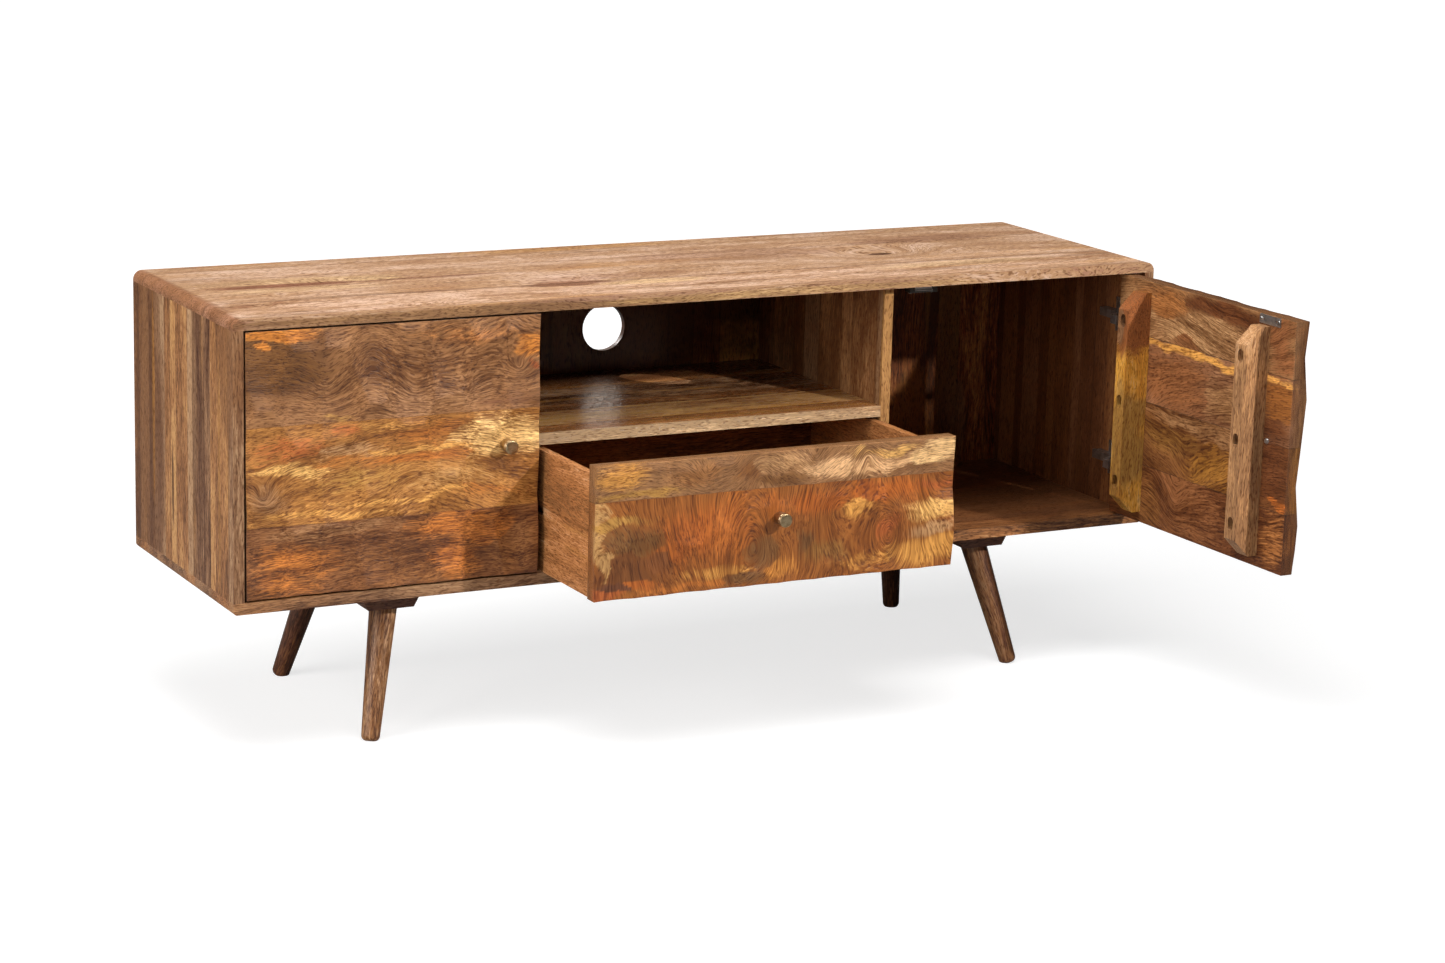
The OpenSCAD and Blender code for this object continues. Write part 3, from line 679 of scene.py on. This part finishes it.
inner_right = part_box("right_side_panel")[0][0]
side_face = blots_at(
    0, top_low[0], (0.345, 0.4, 0.06, 0.4, paint(124, 82, 50), 0.85),
    (0.325, 0.45, 0.005, 0.16, paint(190, 130, 54), 0.9), (0.245, 0.33, 0.004, 0.06, DARK_BROWN, 0.9),
    (0.16, 0.46, 0.018, 0.14, GREY_TAN, 0.7), (0.115, 0.33, 0.003, 0.2, DARK_BROWN, 0.9),
    (0.02, 0.53, 0.03, 0.1, BROWN, 0.8), (0.055, 0.36, 0.004, 0.2, paint(180, 128, 66), 0.8))
side_inside = [((inner_right - 2 * MM, 0.2, 0.4), (0.01, 0.4, 0.4), paint(122, 66, 28), 0.75)]
side_wood = wood(
    "side_wood", "zyx", [DARK_BROWN, BROWN, paint(170, 118, 72), paint(196, 148, 94)],
    [DARK_BROWN, paint(140, 100, 68), paint(186, 148, 110)], width=0.032, seed=5.0, wild=0.5, contrast=1.2,
    gloss=0.42, golden=0.25, spalt=0.4, spread=0.6, blots=side_face + side_inside)

# The back panel's last blot is painted shade: it darkens the panel behind the open bay, where little light
# reaches, and it shows on the panel's outer face too.
strip_tones_and_bay_shade = blots_at(1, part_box("back_panel")[0][1], (0.55, 0.28, 0.045, 0.1, ORANGE, 1.0),
                      (0.63, 0.27, 0.03, 0.1, GREY_BROWN, 0.8), (0.0, 0.52, 0.4, 0.13, DEEP, 0.9))
strip_wood = wood(
    "strip_wood", "zxy", [DEEP, DEEP_RED, WARM_BROWN, GOLD], [DEEP_BROWN, DEEP_OLIVE, BROWN], width=0.06,
    seed=7.0, contrast=1.1, golden=0.3, spalt=0.4, blots=strip_tones_and_bay_shade)

divider_face = blots_at(0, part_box("right_divider")[0][0] + 4 * MM, (0.022, 0.41, 0.006, 0.4, GOLD, 0.6))
divider_wood = wood(
    "divider_wood", "zyx", [DEEP_BROWN, BROWN, TAN], [DEEP_BROWN, GREY_BROWN, GREY_TAN], width=0.05,
    seed=8.0, wild=0.9, contrast=1.2, spalt=0.4, spread=0.5, blots=divider_face)

bottom_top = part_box("bottom_panel")[1][2]
bottom_wood = wood(
    "bottom_wood", "xyz", [DARK_BROWN, BROWN, WARM_BROWN, TAN], [DARK_BROWN, GREY_BROWN, GREY_TAN],
    seed=9.0, wild=1.2, contrast=1.3, spalt=0.5,
    blots=[((0.5, 0.22, bottom_top + 0.5 * MM), (0.6, 0.215, 0.008), paint(114, 68, 36), 0.8)])

shelf_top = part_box("shelf")[1][2]
# The shelf's first blot is painted shade: it darkens the rear of the shelf, which the light does not reach.
# The other two are streaks in the wood.
shelf_streaks_and_rear_shade = blots_at(2, shelf_top, (0.05, 0.4, 0.7, 0.11, DEEP, 0.85),
                      (-0.1, 0.1, 0.3, 0.006, YELLOW, 0.9), (0.1, 0.045, 0.3, 0.006, GOLD, 0.7))
shelf_edge = [((0.0, 0.02, shelf_top - 8 * MM), (0.5, 0.008, 0.05), paint(250, 212, 164), 1.0)]
shelf_wood = wood(
    "shelf_wood", "xyz", [BROWN, WARM_BROWN, TAN, YELLOW], [DARK_BROWN, GREY_BROWN, PALE], width=0.065,
    seed=11.0, wild=0.9, contrast=1.7, gloss=0.14, golden=0.8, spalt=0.5, spread=0.5,
    blots=shelf_streaks_and_rear_shade + shelf_edge)

box_wood = wood("drawer_box_wood", "yzx", [BROWN, WARM_BROWN, paint(196, 136, 86), PALE], width=0.095,
                seed=12.0, wild=1.2, gloss=0.38, golden=0.3)
box_back_wood = wood("drawer_back_wood", "xzy", [DARK_BROWN, BROWN, WARM_BROWN], width=0.095, seed=14.0,
                     contrast=1.1, gloss=0.38)

low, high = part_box("right_door_hinge_batten")
hinge_batten_wood = wood(
    "hinge_batten_wood", "zyx", [WARM_BROWN, paint(200, 134, 46), paint(226, 164, 66), YELLOW], seed=15.0,
    wild=1.2, contrast=1.2, gloss=0.34, golden=0.4, spalt=0.3,
    blots=blots_at(0, low[0], (low[1] + 0.01, high[2] - 0.04, 0.04, 0.055, paint(164, 98, 52), 1.0),
                   (low[1] + 0.02, high[2] - 0.05, 0.012, 0.03, GREY_BROWN, 0.9),
                   (low[1] + 0.01, low[2] + 0.1, 0.02, 0.1, OLIVE, 0.8)),
    knots=[((low[0], low[1] + 0.015, high[2] - 0.06), (0.1, 0.02, 0.03), 0.03)])
free_batten_wood = wood("free_batten_wood", "zyx", [BROWN, GREY_BROWN, TAN, PALE], seed=16.0, wild=0.9,
                        contrast=0.9, golden=0.3, spalt=0.3)
plain_leg_wood = wood("leg_block_wood", "xyz", [DARK_BROWN, PURPLE_BROWN, BROWN], seed=17.0, contrast=0.9,
                      gloss=0.34, spalt=0.7)

# The front right and rear legs take darker tones than the front left one: painted shade, for the legs that
# stand in shadow.
SHADED_REAR_LEG_TONES = [DEEP, DARK_BROWN, PURPLE_BROWN, BROWN]
LEG_TONES_WITH_SHADE = {"front_left": [DARK_BROWN, BROWN, GREY_BROWN, paint(196, 150, 108)],
             "front_right": [DARK_BROWN, PURPLE_BROWN, BROWN, GREY_BROWN],
             "rear_left": SHADED_REAR_LEG_TONES, "rear_right": SHADED_REAR_LEG_TONES}


def leg_material(corner, tones):
    """Wood whose grain runs along one splayed leg, from its foot to its block."""
    block_low, block_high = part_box(corner + "_leg_block")
    way = ((block_low + block_high) / 2 - MOUNTS[corner + "_foot"]).normalized()
    side = way.cross(Vector((0, 1, 0))).normalized()
    axes = (tuple(way), tuple(side), tuple(way.cross(side)))
    return wood(corner + "_leg_wood", axes, tones, seed=19.0, contrast=1.6, gloss=0.3, spalt=0.9)


leg_woods = {corner + "_leg": leg_material(corner, tones) for corner, tones in LEG_TONES_WITH_SHADE.items()}
brass = metal("aged_brass", (0.46, 0.33, 0.17), (0.3, 0.2, 0.1), 0.28, (900.0, 15.0, 900.0))
steel = metal("plated_steel", (0.52, 0.52, 0.52), (0.36, 0.36, 0.36), 0.3)
zinc = metal("zinc_screws", (0.58, 0.57, 0.55), (0.38, 0.37, 0.35), 0.28)
dark_plastic = plastic("catch_plastic", (0.022, 0.018, 0.014), 0.45)

SLOT_MATERIALS = {
    "case_top_wood": top_wood, "case_side_wood": side_wood, "case_bottom_wood": bottom_wood,
    "inner_strip_wood": strip_wood, "shelf_wood": shelf_wood, "leg_wood": plain_leg_wood,
    "left_door_wood": strip_wood, "right_door_wood": strip_wood, "drawer_front_wood": strip_wood,
    "drawer_box_wood": box_wood, "batten_wood": free_batten_wood, "knob_brass": brass, "hinge_steel": steel,
    "screw_steel": zinc, "catch_steel": steel, "catch_plastic": dark_plastic,
}
NODE_MATERIALS = {"left_divider": divider_wood, "right_divider": divider_wood, "drawer_back": box_back_wood,
                  "drawer_bottom": box_back_wood, "left_door_hinge_batten": hinge_batten_wood,
                  "right_door_hinge_batten": hinge_batten_wood, **leg_woods}
WOOD_EDGE = 0.5 * MM
METAL_EDGE = 0.3 * MM

for part in frame["record"]["subparts"]:
    name, slot = part["node"], part["material_slot"]
    solid = NODES[name]
    solid.data.materials.clear()
    solid.data.materials.append(NODE_MATERIALS.get(name, SLOT_MATERIALS[slot]))
    bevel = solid.modifiers.new("eased_edges", "BEVEL")
    bevel.width = WOOD_EDGE if "wood" in slot else METAL_EDGE
    bevel.segments = 2
    bevel.limit_method = "ANGLE"
    bevel.angle_limit = math.radians(40)

# ---------------------------------------------------------------- doors and drawer front
front_wood = painted_wood("front_wood", 1.15, 0.36, 0.3, 0.15)
drawer_wood = painted_wood("drawer_front_wood", 0.68, 0.34, 0.5, 0.35)
LEAF_STEP = 2.5 * MM
STROKE_FLOOR = 3.1 * MM
KNOB_PAD = 11 * MM
KNOB_FADE = 20 * MM
KNOB_RISE = 0.3 * MM
WAVE_REACH = 0.045
GLUE_LINE = 0.5 * MM
STEEP = 0.25


def scooped(width, height, rows, seed, knob, edge, right_edge):
    """Face shift of a scooped panel: ridges stand proud of the CAD plane, strokes sink in, and the wood is
    level under the knob. edge gives the wave along the panel's left or right edge: (height, shift) in
    millimetres."""
    def shift(x, z):
        face = STROKE_FLOOR - scoop_field(x, z, width, height, rows, seed)
        face = face + 0.25 * MM * clouds(x, z, 0.03, seed)
        wave = np.interp(z, [e[0] * MM for e in edge], [e[1] * MM for e in edge])
        near = smooth(np.clip(1 - (width - x if right_edge else x) / WAVE_REACH, 0, 1))
        face = face + (wave - face) * near
        away = np.clip((np.hypot(x - knob[0], z - knob[1]) - KNOB_PAD) / KNOB_FADE, 0, 1)
        return face * smooth(away) - KNOB_RISE * (1 - away)
    return shift


def boards(points, half, joints, fronts, backs, hills, rear_hills, seed):
    """Grain and tone of a glued-up panel with horizontal boards. joints are the heights of the glue lines,
    from the bottom up. fronts and backs hold (colour, patches) of each board, and hills and rear_hills its
    knots and swirls. Where a board's first hill is a steep one, its straight grain gives way to rings."""
    x, y, z = points.T
    grain, tint, patch = np.empty((len(x), 3)), np.ones((len(x), 4)), np.empty((len(x), 4))
    rear = np.arange(len(x)) >= half
    for index, (low, high) in enumerate(zip((-1.0, *joints), (*joints, 9.0))):
        for face, tones, raised in ((False, fronts, hills), (True, backs, rear_hills)):
            pick = (z > low) & (z <= high) & (rear == face)
            bx, bz = x[pick], z[pick]
            straight = 0.25 if raised[index] and raised[index][0][4] > STEEP else 1.0
            across = straight * bz + bumps(bx, bz, raised[index])
            across = across + 0.01 * clouds(bx, bz, 0.16, seed + index, 3)
            across = across + 0.0022 * clouds(bx, bz, 0.035, seed + index + 50, 2)
            turn = 0.9 * seed + 0.37 * index + (0.19 if face else 0.0)
            grain[pick] = np.stack([bx + turn, across, turn + 1.5 * y[pick]], -1)
            colour, patches = tones[index]
            glued = np.zeros_like(bx)
            for cut in joints:
                glued = np.maximum(glued, np.abs(bz - cut) < GLUE_LINE)
            tint[pick, :3] = np.array(colour) * (1 - glued * (0.8 if face else 0.12))[:, None]
            patch[pick] = patched(bx, bz, patches, seed + 3 * index + (11 if face else 0))
    return grain, tint, patch


def scooped_panel(name, body, node, low, high, rows, seed, knob, joints, fronts, backs, hills,
                  rear_hills, edge, right_edge=False, place=None, material=front_wood, rim=1.0, hollows=()):
    """Adds a sculpted panel in place of a CAD node. rows is the number of gouge strokes up its face, and rim
    darkens the outline: painted shade on the panel's edge faces, which makes the gaps round it look black."""
    size = np.array(high) - np.array(low)
    face = scooped(size[0], size[2], rows, seed, knob, edge, right_edge)
    made, points, half = slab(name, low, high, LEAF_STEP, face, joints, place, hollows)
    grain, tint, patch = boards(points, half, joints, fronts, backs, hills, rear_hills, seed)
    # Painted shade: the tint of the panel's edge faces is darkened by rim, so that the gaps round the panel
    # look black.
    outline = rim_distance(points[:, 0], points[:, 2], size) < 0.1 * MM
    tint[outline, :3] *= rim
    patch[outline, 3] *= rim
    write_attributes(made, grain, tint, patch)
    made.data.materials.append(material)
    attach(made, body)
    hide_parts(node)


def box_arrays(node):
    return tuple(np.array(corner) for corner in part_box(node))


door_low, door_high = box_arrays("left_door_panel")
knob_low, knob_high = box_arrays("left_door_knob")
knob_at = (knob_low + knob_high) / 2 - door_low
W, H = door_high[0] - door_low[0], door_high[2] - door_low[2]
cups_low, cups_high = box_arrays("left_hinge_cups")
cup_x = (cups_low[0] + cups_high[0]) / 2 - door_low[0]
CUP_FLANGE = 30 * MM  # half the height of a hinge cup's flange
cup_levels = (cups_low[2] + CUP_FLANGE - door_low[2], cups_high[2] - CUP_FLANGE - door_low[2])


def spots(*rows):
    """Patches given in shares of the panel's width and height from its top left corner."""
    return [(u * W, (1 - v) * H, ru * W, rv * H, colour, strength) for u, v, ru, rv, colour, strength in rows]


def rises(*rows):
    """Hills in the same shares, with their heights."""
    return [(u * W, (1 - v) * H, ru * W, rv * H, height) for u, v, ru, rv, height in rows]


left_fronts = [
    (LOW_BROWN, spots(
        (0.16, 0.86, 0.12, 0.06, GLOW, 0.65), (0.11, 0.95, 0.1, 0.05, GLOW, 0.6),
        (0.74, 0.8, 0.14, 0.06, GLOW, 0.8), (0.7, 0.9, 0.07, 0.07, GLOW, 0.7),
        (0.45, 0.86, 0.14, 0.05, BROWN, 0.5), (0.95, 0.88, 0.08, 0.1, BROWN, 0.6),
        (0.3, 0.76, 0.2, 0.03, GREY_BROWN, 0.5), (0.55, 0.95, 0.1, 0.04, BROWN, 0.5))),
    (paint(166, 114, 60), spots(
        (0.13, 0.45, 0.13, 0.05, RED, 0.6), (0.17, 0.53, 0.12, 0.02, YELLOW, 0.85),
        (0.32, 0.47, 0.12, 0.025, GREY_TAN, 0.6), (0.3, 0.39, 0.07, 0.03, RED, 0.6),
        (0.07, 0.63, 0.06, 0.06, GREY_BROWN, 0.8), (0.6, 0.42, 0.18, 0.05, GLOW, 0.5),
        (0.45, 0.38, 0.12, 0.02, HONEY, 0.6), (0.58, 0.475, 0.25, 0.01, HONEY, 0.8),
        # The pale patch beside the knob is partly the wood's pale tone and partly a painted highlight on the
        # face round the knob.
        (0.89, 0.45, 0.14, 0.06, paint(234, 194, 134), 1.0), (0.86, 0.56, 0.09, 0.03, BROWN, 0.6),
        (0.4, 0.58, 0.14, 0.04, OLIVE, 0.5), (0.72, 0.6, 0.2, 0.05, paint(170, 128, 80), 0.5),
        (0.3, 0.52, 0.1, 0.03, GLOW, 0.5), (0.28, 0.7, 0.2, 0.01, HONEY, 0.9),
        (0.55, 0.5, 0.25, 0.02, GLOW, 0.6), (0.55, 0.66, 0.2, 0.01, HONEY, 0.8),
        (0.85, 0.66, 0.12, 0.02, GLOW, 0.5))),
    (paint(144, 102, 68), spots(
        (0.1, 0.02, 0.11, 0.03, ORANGE, 1.0), (0.05, 0.07, 0.04, 0.02, ORANGE, 0.9),
        (0.97, 0.13, 0.06, 0.04, ORANGE, 0.8), (0.99, 0.21, 0.02, 0.012, RED, 0.9),
        (0.27, 0.22, 0.1, 0.06, DUSK, 0.5), (0.56, 0.27, 0.1, 0.06, SOFT_TAN, 0.8),
        (0.74, 0.26, 0.1, 0.05, SOFT_TAN, 0.8), (0.08, 0.14, 0.12, 0.1, paint(104, 68, 36), 1.0),
        (0.22, 0.08, 0.06, 0.06, DIM_BROWN, 0.6), (0.7, 0.06, 0.2, 0.03, WARM_BROWN, 0.5),
        (0.4, 0.14, 0.03, 0.08, DIM_BROWN, 0.5), (0.64, 0.24, 0.015, 0.05, LOW_BROWN, 0.6),
        (0.3, 0.34, 0.06, 0.015, OLIVE, 0.6), (0.93, 0.32, 0.1, 0.02, PURPLE_BROWN, 0.5)))]
left_hills = [
    rises((0.9, 1.0, 0.6, 0.35, -0.05), (0.93, 0.95, 0.1, 0.16, 0.03)),
    rises((0.06, 0.61, 0.03, 0.045, 0.045), (0.62, 0.6, 0.36, 0.34, -0.085), (0.9, 0.46, 0.1, 0.06, 0.012)),
    rises((0.27, 0.22, 0.1, 0.12, 0.032), (0.57, 0.26, 0.08, 0.1, 0.03), (0.74, 0.26, 0.09, 0.09, 0.028),
          (0.42, 0.1, 0.1, 0.2, -0.035), (0.93, 0.2, 0.05, 0.06, 0.025), (0.88, 0.0, 0.2, 0.12, -0.04))]
left_wave = ((0, 0), (20, -2.0), (63, -2.4), (113, 3.5), (170, -1.4), (213, 0.8), (250, -2.0), (308, 2.8),
             (365, 0))
# Its rim of 0.2 is painted shade on the door's edge faces, for a black gap round the door.
scooped_panel(
    "left_door_leaf", "left_door", "left_door_panel", door_low, door_high, 3, 11,
    (knob_at[0], knob_at[2]), (0.27 * H, 0.645 * H), left_fronts,
    [(BROWN, []), (GREY_BROWN, []), (BROWN, [])], left_hills, [[], [], []], left_wave, right_edge=True,
    rim=0.2, hollows=[(cup_x, level) for level in cup_levels])

hinge = next(j for j in frame["record"]["behaviour"]["joints"] if j["name"] == "right_door_hinge")
pivot = Vector(hinge["pos_m"])
opened = math.radians(-hinge["range_deg"][0]) * hinge["axis"][2]
swing = Matrix.Translation(pivot) @ Matrix.Rotation(opened, 4, "Z") @ Matrix.Translation(-pivot)
right_low, right_high = door_low * (-1, 1, 1), door_high * (-1, 1, 1)
right_low[0], right_high[0] = right_high[0], right_low[0]
right_fronts = [
    (LOW_BROWN, [(0.12, 0.05, 0.08, 0.03, GLOW, 0.7), (0.34, 0.06, 0.06, 0.03, BROWN, 0.7)]),
    (paint(166, 114, 60), [(0.28, 0.14, 0.14, 0.012, HONEY, 0.8), (0.1, 0.12, 0.08, 0.03, GLOW, 0.6)]),
    (paint(148, 106, 72), [(0.1, 0.24, 0.1, 0.03, GREY_BROWN, 0.7), (0.33, 0.22, 0.06, 0.02, OLIVE, 0.6)]),
    (LOW_BROWN, [(0.2, 0.33, 0.12, 0.02, GLOW, 0.6), (0.36, 0.3, 0.05, 0.03, DIM_BROWN, 0.7)])]
right_backs = [
    (SHADED, [(0.24, 0.05, 0.06, 0.05, MID, 0.9), (0.03, 0.05, 0.03, 0.03, WARM_BROWN, 0.7),
              (0.32, 0.03, 0.05, 0.04, BROWN, 0.7)]),
    (paint(118, 75, 42), [
        (0.28, 0.14, 0.1, 0.02, DEEP_OLIVE, 0.6), (0.17, 0.12, 0.06, 0.03, paint(140, 94, 40), 0.7),
        (0.22, 0.17, 0.1, 0.012, GREY_BROWN, 0.9), (0.02, 0.1, 0.05, 0.012, RUST, 0.6),
        (0.04, 0.15, 0.04, 0.05, SHADED, 0.9)]),
    (paint(138, 96, 70), [
        (0.25, 0.276, 0.25, 0.006, GOLD, 1.0), (0.28, 0.23, 0.08, 0.04, MID, 0.8),
        (0.15, 0.22, 0.06, 0.03, GREY_BROWN, 0.8), (0.03, 0.25, 0.04, 0.03, paint(130, 80, 38), 0.9),
        (0.04, 0.2, 0.04, 0.02, SHADED, 0.9)]),
    (GREY_BROWN, [
        (0.17, 0.35, 0.1, 0.012, SHADED, 1.0), (0.3, 0.34, 0.05, 0.02, paint(156, 102, 58), 0.8),
        (0.22, 0.31, 0.1, 0.02, GREY_TAN, 0.7), (0.03, 0.33, 0.03, 0.04, MID, 0.9),
        (0.25, 0.3, 0.04, 0.02, MID, 0.7)])]
right_rear_hills = [
    [(0.26, 0.05, 0.04, 0.06, 0.05), (0.15, 0.0, 0.1, 0.08, 0.05)], [(0.22, 0.09, 0.1, 0.06, 0.08)],
    [(0.36, 0.18, 0.12, 0.08, 0.1)],
    [(0.17, 0.37, 0.06, 0.04, 0.06), (0.06, 0.34, 0.05, 0.05, 0.05), (0.3, 0.29, 0.1, 0.06, -0.05)]]
right_wave = ((0, 2.5), (10, 1.7), (36, -1.0), (70, -2.5), (127, 4.8), (175, 1.0), (209, -1.5), (252, -4.3),
              (312, 3.2), (363, -1.1))
# Its rim of 0.65 is painted shade on the open door's edge faces.
scooped_panel(
    "right_door_leaf", "right_door", "right_door_panel", right_low, right_high, 3, 23,
    (W - knob_at[0], knob_at[2]), (0.088, 0.184, 0.282), right_fronts, right_backs, [[], [], [], []],
    right_rear_hills, right_wave, place=swing, rim=0.65, hollows=[(W - cup_x, level) for level in cup_levels])

drawer_low, drawer_high = box_arrays("drawer_front")
pull_low, pull_high = box_arrays("drawer_knob")
pull_at = (pull_low + pull_high) / 2 - drawer_low
W, H = drawer_high[0] - drawer_low[0], drawer_high[2] - drawer_low[2]
drawer_fronts = [
    (paint(150, 92, 44), spots(
        (0.1, 0.8, 0.1, 0.12, paint(112, 68, 36), 0.85), (0.06, 0.45, 0.08, 0.04, OLIVE, 0.8),
        (0.11, 0.62, 0.06, 0.12, paint(112, 76, 42), 0.8), (0.2, 0.72, 0.05, 0.1, paint(124, 76, 44), 0.8),
        (0.02, 0.6, 0.02, 0.3, paint(180, 140, 92), 0.8), (0.24, 0.58, 0.08, 0.2, RUST, 0.85),
        (0.36, 0.55, 0.07, 0.22, paint(180, 104, 46), 0.6), (0.06, 0.92, 0.05, 0.04, PURPLE_BROWN, 0.9),
        (0.03, 0.97, 0.04, 0.04, RED, 0.9), (0.12, 0.9, 0.06, 0.05, RUST, 0.8),
        (0.33, 0.86, 0.09, 0.05, GOLD, 0.6), (0.4, 0.93, 0.05, 0.05, WEDGE, 0.9),
        (0.45, 0.76, 0.03, 0.09, WEDGE, 0.8), (0.57, 0.72, 0.025, 0.08, WEDGE, 0.9),
        (0.51, 0.88, 0.05, 0.06, paint(196, 132, 64), 0.7), (0.64, 0.8, 0.06, 0.09, paint(138, 96, 50), 0.8),
        (0.6, 0.42, 0.1, 0.08, RUST, 0.7), (0.72, 0.46, 0.06, 0.08, GOLD, 0.6),
        (0.78, 0.38, 0.1, 0.08, RUST, 0.9), (0.82, 0.68, 0.03, 0.1, RED, 0.7),
        (0.93, 0.36, 0.07, 0.05, RED, 0.6), (0.95, 0.55, 0.07, 0.05, YELLOW, 0.9),
        (0.93, 0.86, 0.09, 0.08, GOLD, 0.95), (0.94, 0.7, 0.05, 0.05, GREY_TAN, 0.8),
        (0.75, 0.88, 0.06, 0.06, GOLD, 0.7), (0.25, 0.95, 0.12, 0.03, GLOW, 0.8))),
    (GREY_BROWN, spots(
        (0.06, 0.08, 0.07, 0.07, GOLD, 1.0), (0.92, 0.15, 0.06, 0.05, CREAM, 1.0),
        (0.97, 0.06, 0.05, 0.05, CREAM, 1.0), (0.1, 0.23, 0.12, 0.03, OLIVE, 0.8),
        (0.52, 0.1, 0.1, 0.06, GREY_TAN, 0.8), (0.8, 0.05, 0.06, 0.03, YELLOW, 0.8),
        (0.74, 0.16, 0.12, 0.06, PALE, 0.9), (0.52, 0.22, 0.06, 0.03, WEDGE, 0.9),
        (0.42, 0.14, 0.04, 0.08, BROWN, 0.8), (0.28, 0.12, 0.06, 0.08, paint(156, 108, 66), 0.8),
        (0.88, 0.22, 0.08, 0.03, WEDGE, 0.6)))]
drawer_hills = [
    rises((0.46, 0.7, 0.2, 0.8, 0.27), (0.82, 0.7, 0.06, 0.3, 0.08), (0.5, 0.62, 0.07, 0.3, -0.09),
          (0.98, 0.2, 0.16, 0.5, -0.12), (0.02, 0.7, 0.08, 0.4, -0.05), (0.38, 0.95, 0.05, 0.2, 0.05),
          (0.66, 0.5, 0.1, 0.4, -0.06)),
    rises((0.3, 0.1, 0.05, 0.2, 0.05), (0.45, 0.2, 0.04, 0.2, -0.06), (0.6, 0.05, 0.04, 0.2, 0.05),
          (0.93, 0.3, 0.1, 0.25, -0.07), (0.75, 0.1, 0.04, 0.2, -0.05), (0.37, 0.0, 0.03, 0.15, 0.04))]
drawer_wave = ((0, 0), (11, -1.4), (43, -5.0), (55, -5.6), (75, -3.0), (90, -1.0), (112, 3.6), (140, 2.8),
               (187, 0))
scooped_panel(
    "drawer_scooped_front", "drawer", "drawer_front", drawer_low, drawer_high, 2, 37,
    (pull_at[0], pull_at[2]), (0.73 * H,), drawer_fronts, [(BROWN, []), (GREY_BROWN, [])], drawer_hills,
    [[], []], drawer_wave, right_edge=True, material=drawer_wood)

# ---------------------------------------------------------------- turned knobs
KNOB_TURNS = 56
KNOB_PROFILE = ((8.2, 0.0), (8.9, 0.35), (9.2, 1.4), (9.35, 8.0), (9.45, 15.6), (9.35, 16.2), (8.75, 16.6),
                (8.7, 17.0), (9.0, 17.4), (9.5, 17.7), (9.6, 18.2), (9.6, 20.0), (9.35, 20.6), (8.8, 20.9),
                (6.0, 21.0), (2.5, 20.95))


def turned_brass(name, flat):
    """Brass with lathe lines round its axis; flat marks the two axes of its face."""
    material, graph, shader = new_material(name)
    inside = graph.coordinates("Generated")
    centred = graph.vector("SUBTRACT", inside, (0.5, 0.5, 0.5))
    radius = graph.vector("LENGTH", graph.vector("MULTIPLY", centred, flat))
    depth = graph.vector("DOT_PRODUCT", centred, tuple(1.0 - f for f in flat))
    lines = graph.noise(graph.xyz(radius, depth, 0.0), (46.0, 60.0, 1.0), 3.0, 0.7)
    tarnish = graph.noise(inside, (3.0, 3.0, 3.0), 4.0, 0.6)
    tone = graph.mix(graph.ramp(tarnish, 0.38, 0.66), (0.56, 0.42, 0.25), (0.36, 0.25, 0.13))
    grooved = graph.mix(graph.ramp(lines, 0.35, 0.62, 0.35, 0.0), tone, (0.2, 0.13, 0.06))
    rough = graph.plus(graph.times(lines, 0.2), 0.22)
    graph.surface(shader, grooved, rough, lines, 0.06 * MM)
    shader.inputs["Metallic"].default_value = 1.0
    return material


def turned_knob(name, body, node, at, place=None, flat=(1.0, 0.0, 1.0)):
    """Brass knob turned on a lathe, standing out along -Y from the point at."""
    rings = len(KNOB_PROFILE)
    points, faces = [], []
    for radius, height in KNOB_PROFILE:
        for k in range(KNOB_TURNS):
            angle = 2 * math.pi * k / KNOB_TURNS
            points.append((radius * MM * math.cos(angle), -height * MM, radius * MM * math.sin(angle)))
    for ring in range(rings - 1):
        for k in range(KNOB_TURNS):
            a, b = ring * KNOB_TURNS + k, ring * KNOB_TURNS + (k + 1) % KNOB_TURNS
            faces.append((a, b, b + KNOB_TURNS, a + KNOB_TURNS))
    faces.append(tuple(reversed(range(KNOB_TURNS))))
    faces.append(tuple(range((rings - 1) * KNOB_TURNS, rings * KNOB_TURNS)))
    mesh = bpy.data.meshes.new(name)
    shift = Matrix.Translation(at)
    mesh.from_pydata([tuple(shift @ Vector(p)) for p in points], [], faces)
    if place is not None:
        mesh.transform(place)
    mesh.polygons.foreach_set("use_smooth", [True] * len(mesh.polygons))
    mesh.set_sharp_from_angle(angle=math.radians(50))
    knob = add_object(name, mesh)
    mesh.materials.append(turned_brass(name + "_brass", flat))
    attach(knob, body)
    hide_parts(node)


def knob_root(node):
    """Middle of a CAD knob's rear end."""
    low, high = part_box(node)
    return Vector(((low.x + high.x) / 2, high.y, (low.z + high.z) / 2))


left_root = knob_root("left_door_knob")
right_root = Vector((-left_root.x, left_root.y, left_root.z))
turned_knob("left_turned_knob", "left_door", "left_door_knob", left_root)
turned_knob("drawer_turned_knob", "drawer", "drawer_knob", knob_root("drawer_knob"))
turned_knob("right_turned_knob", "right_door", "right_door_knob", right_root, swing, (0.0, 1.0, 1.0))
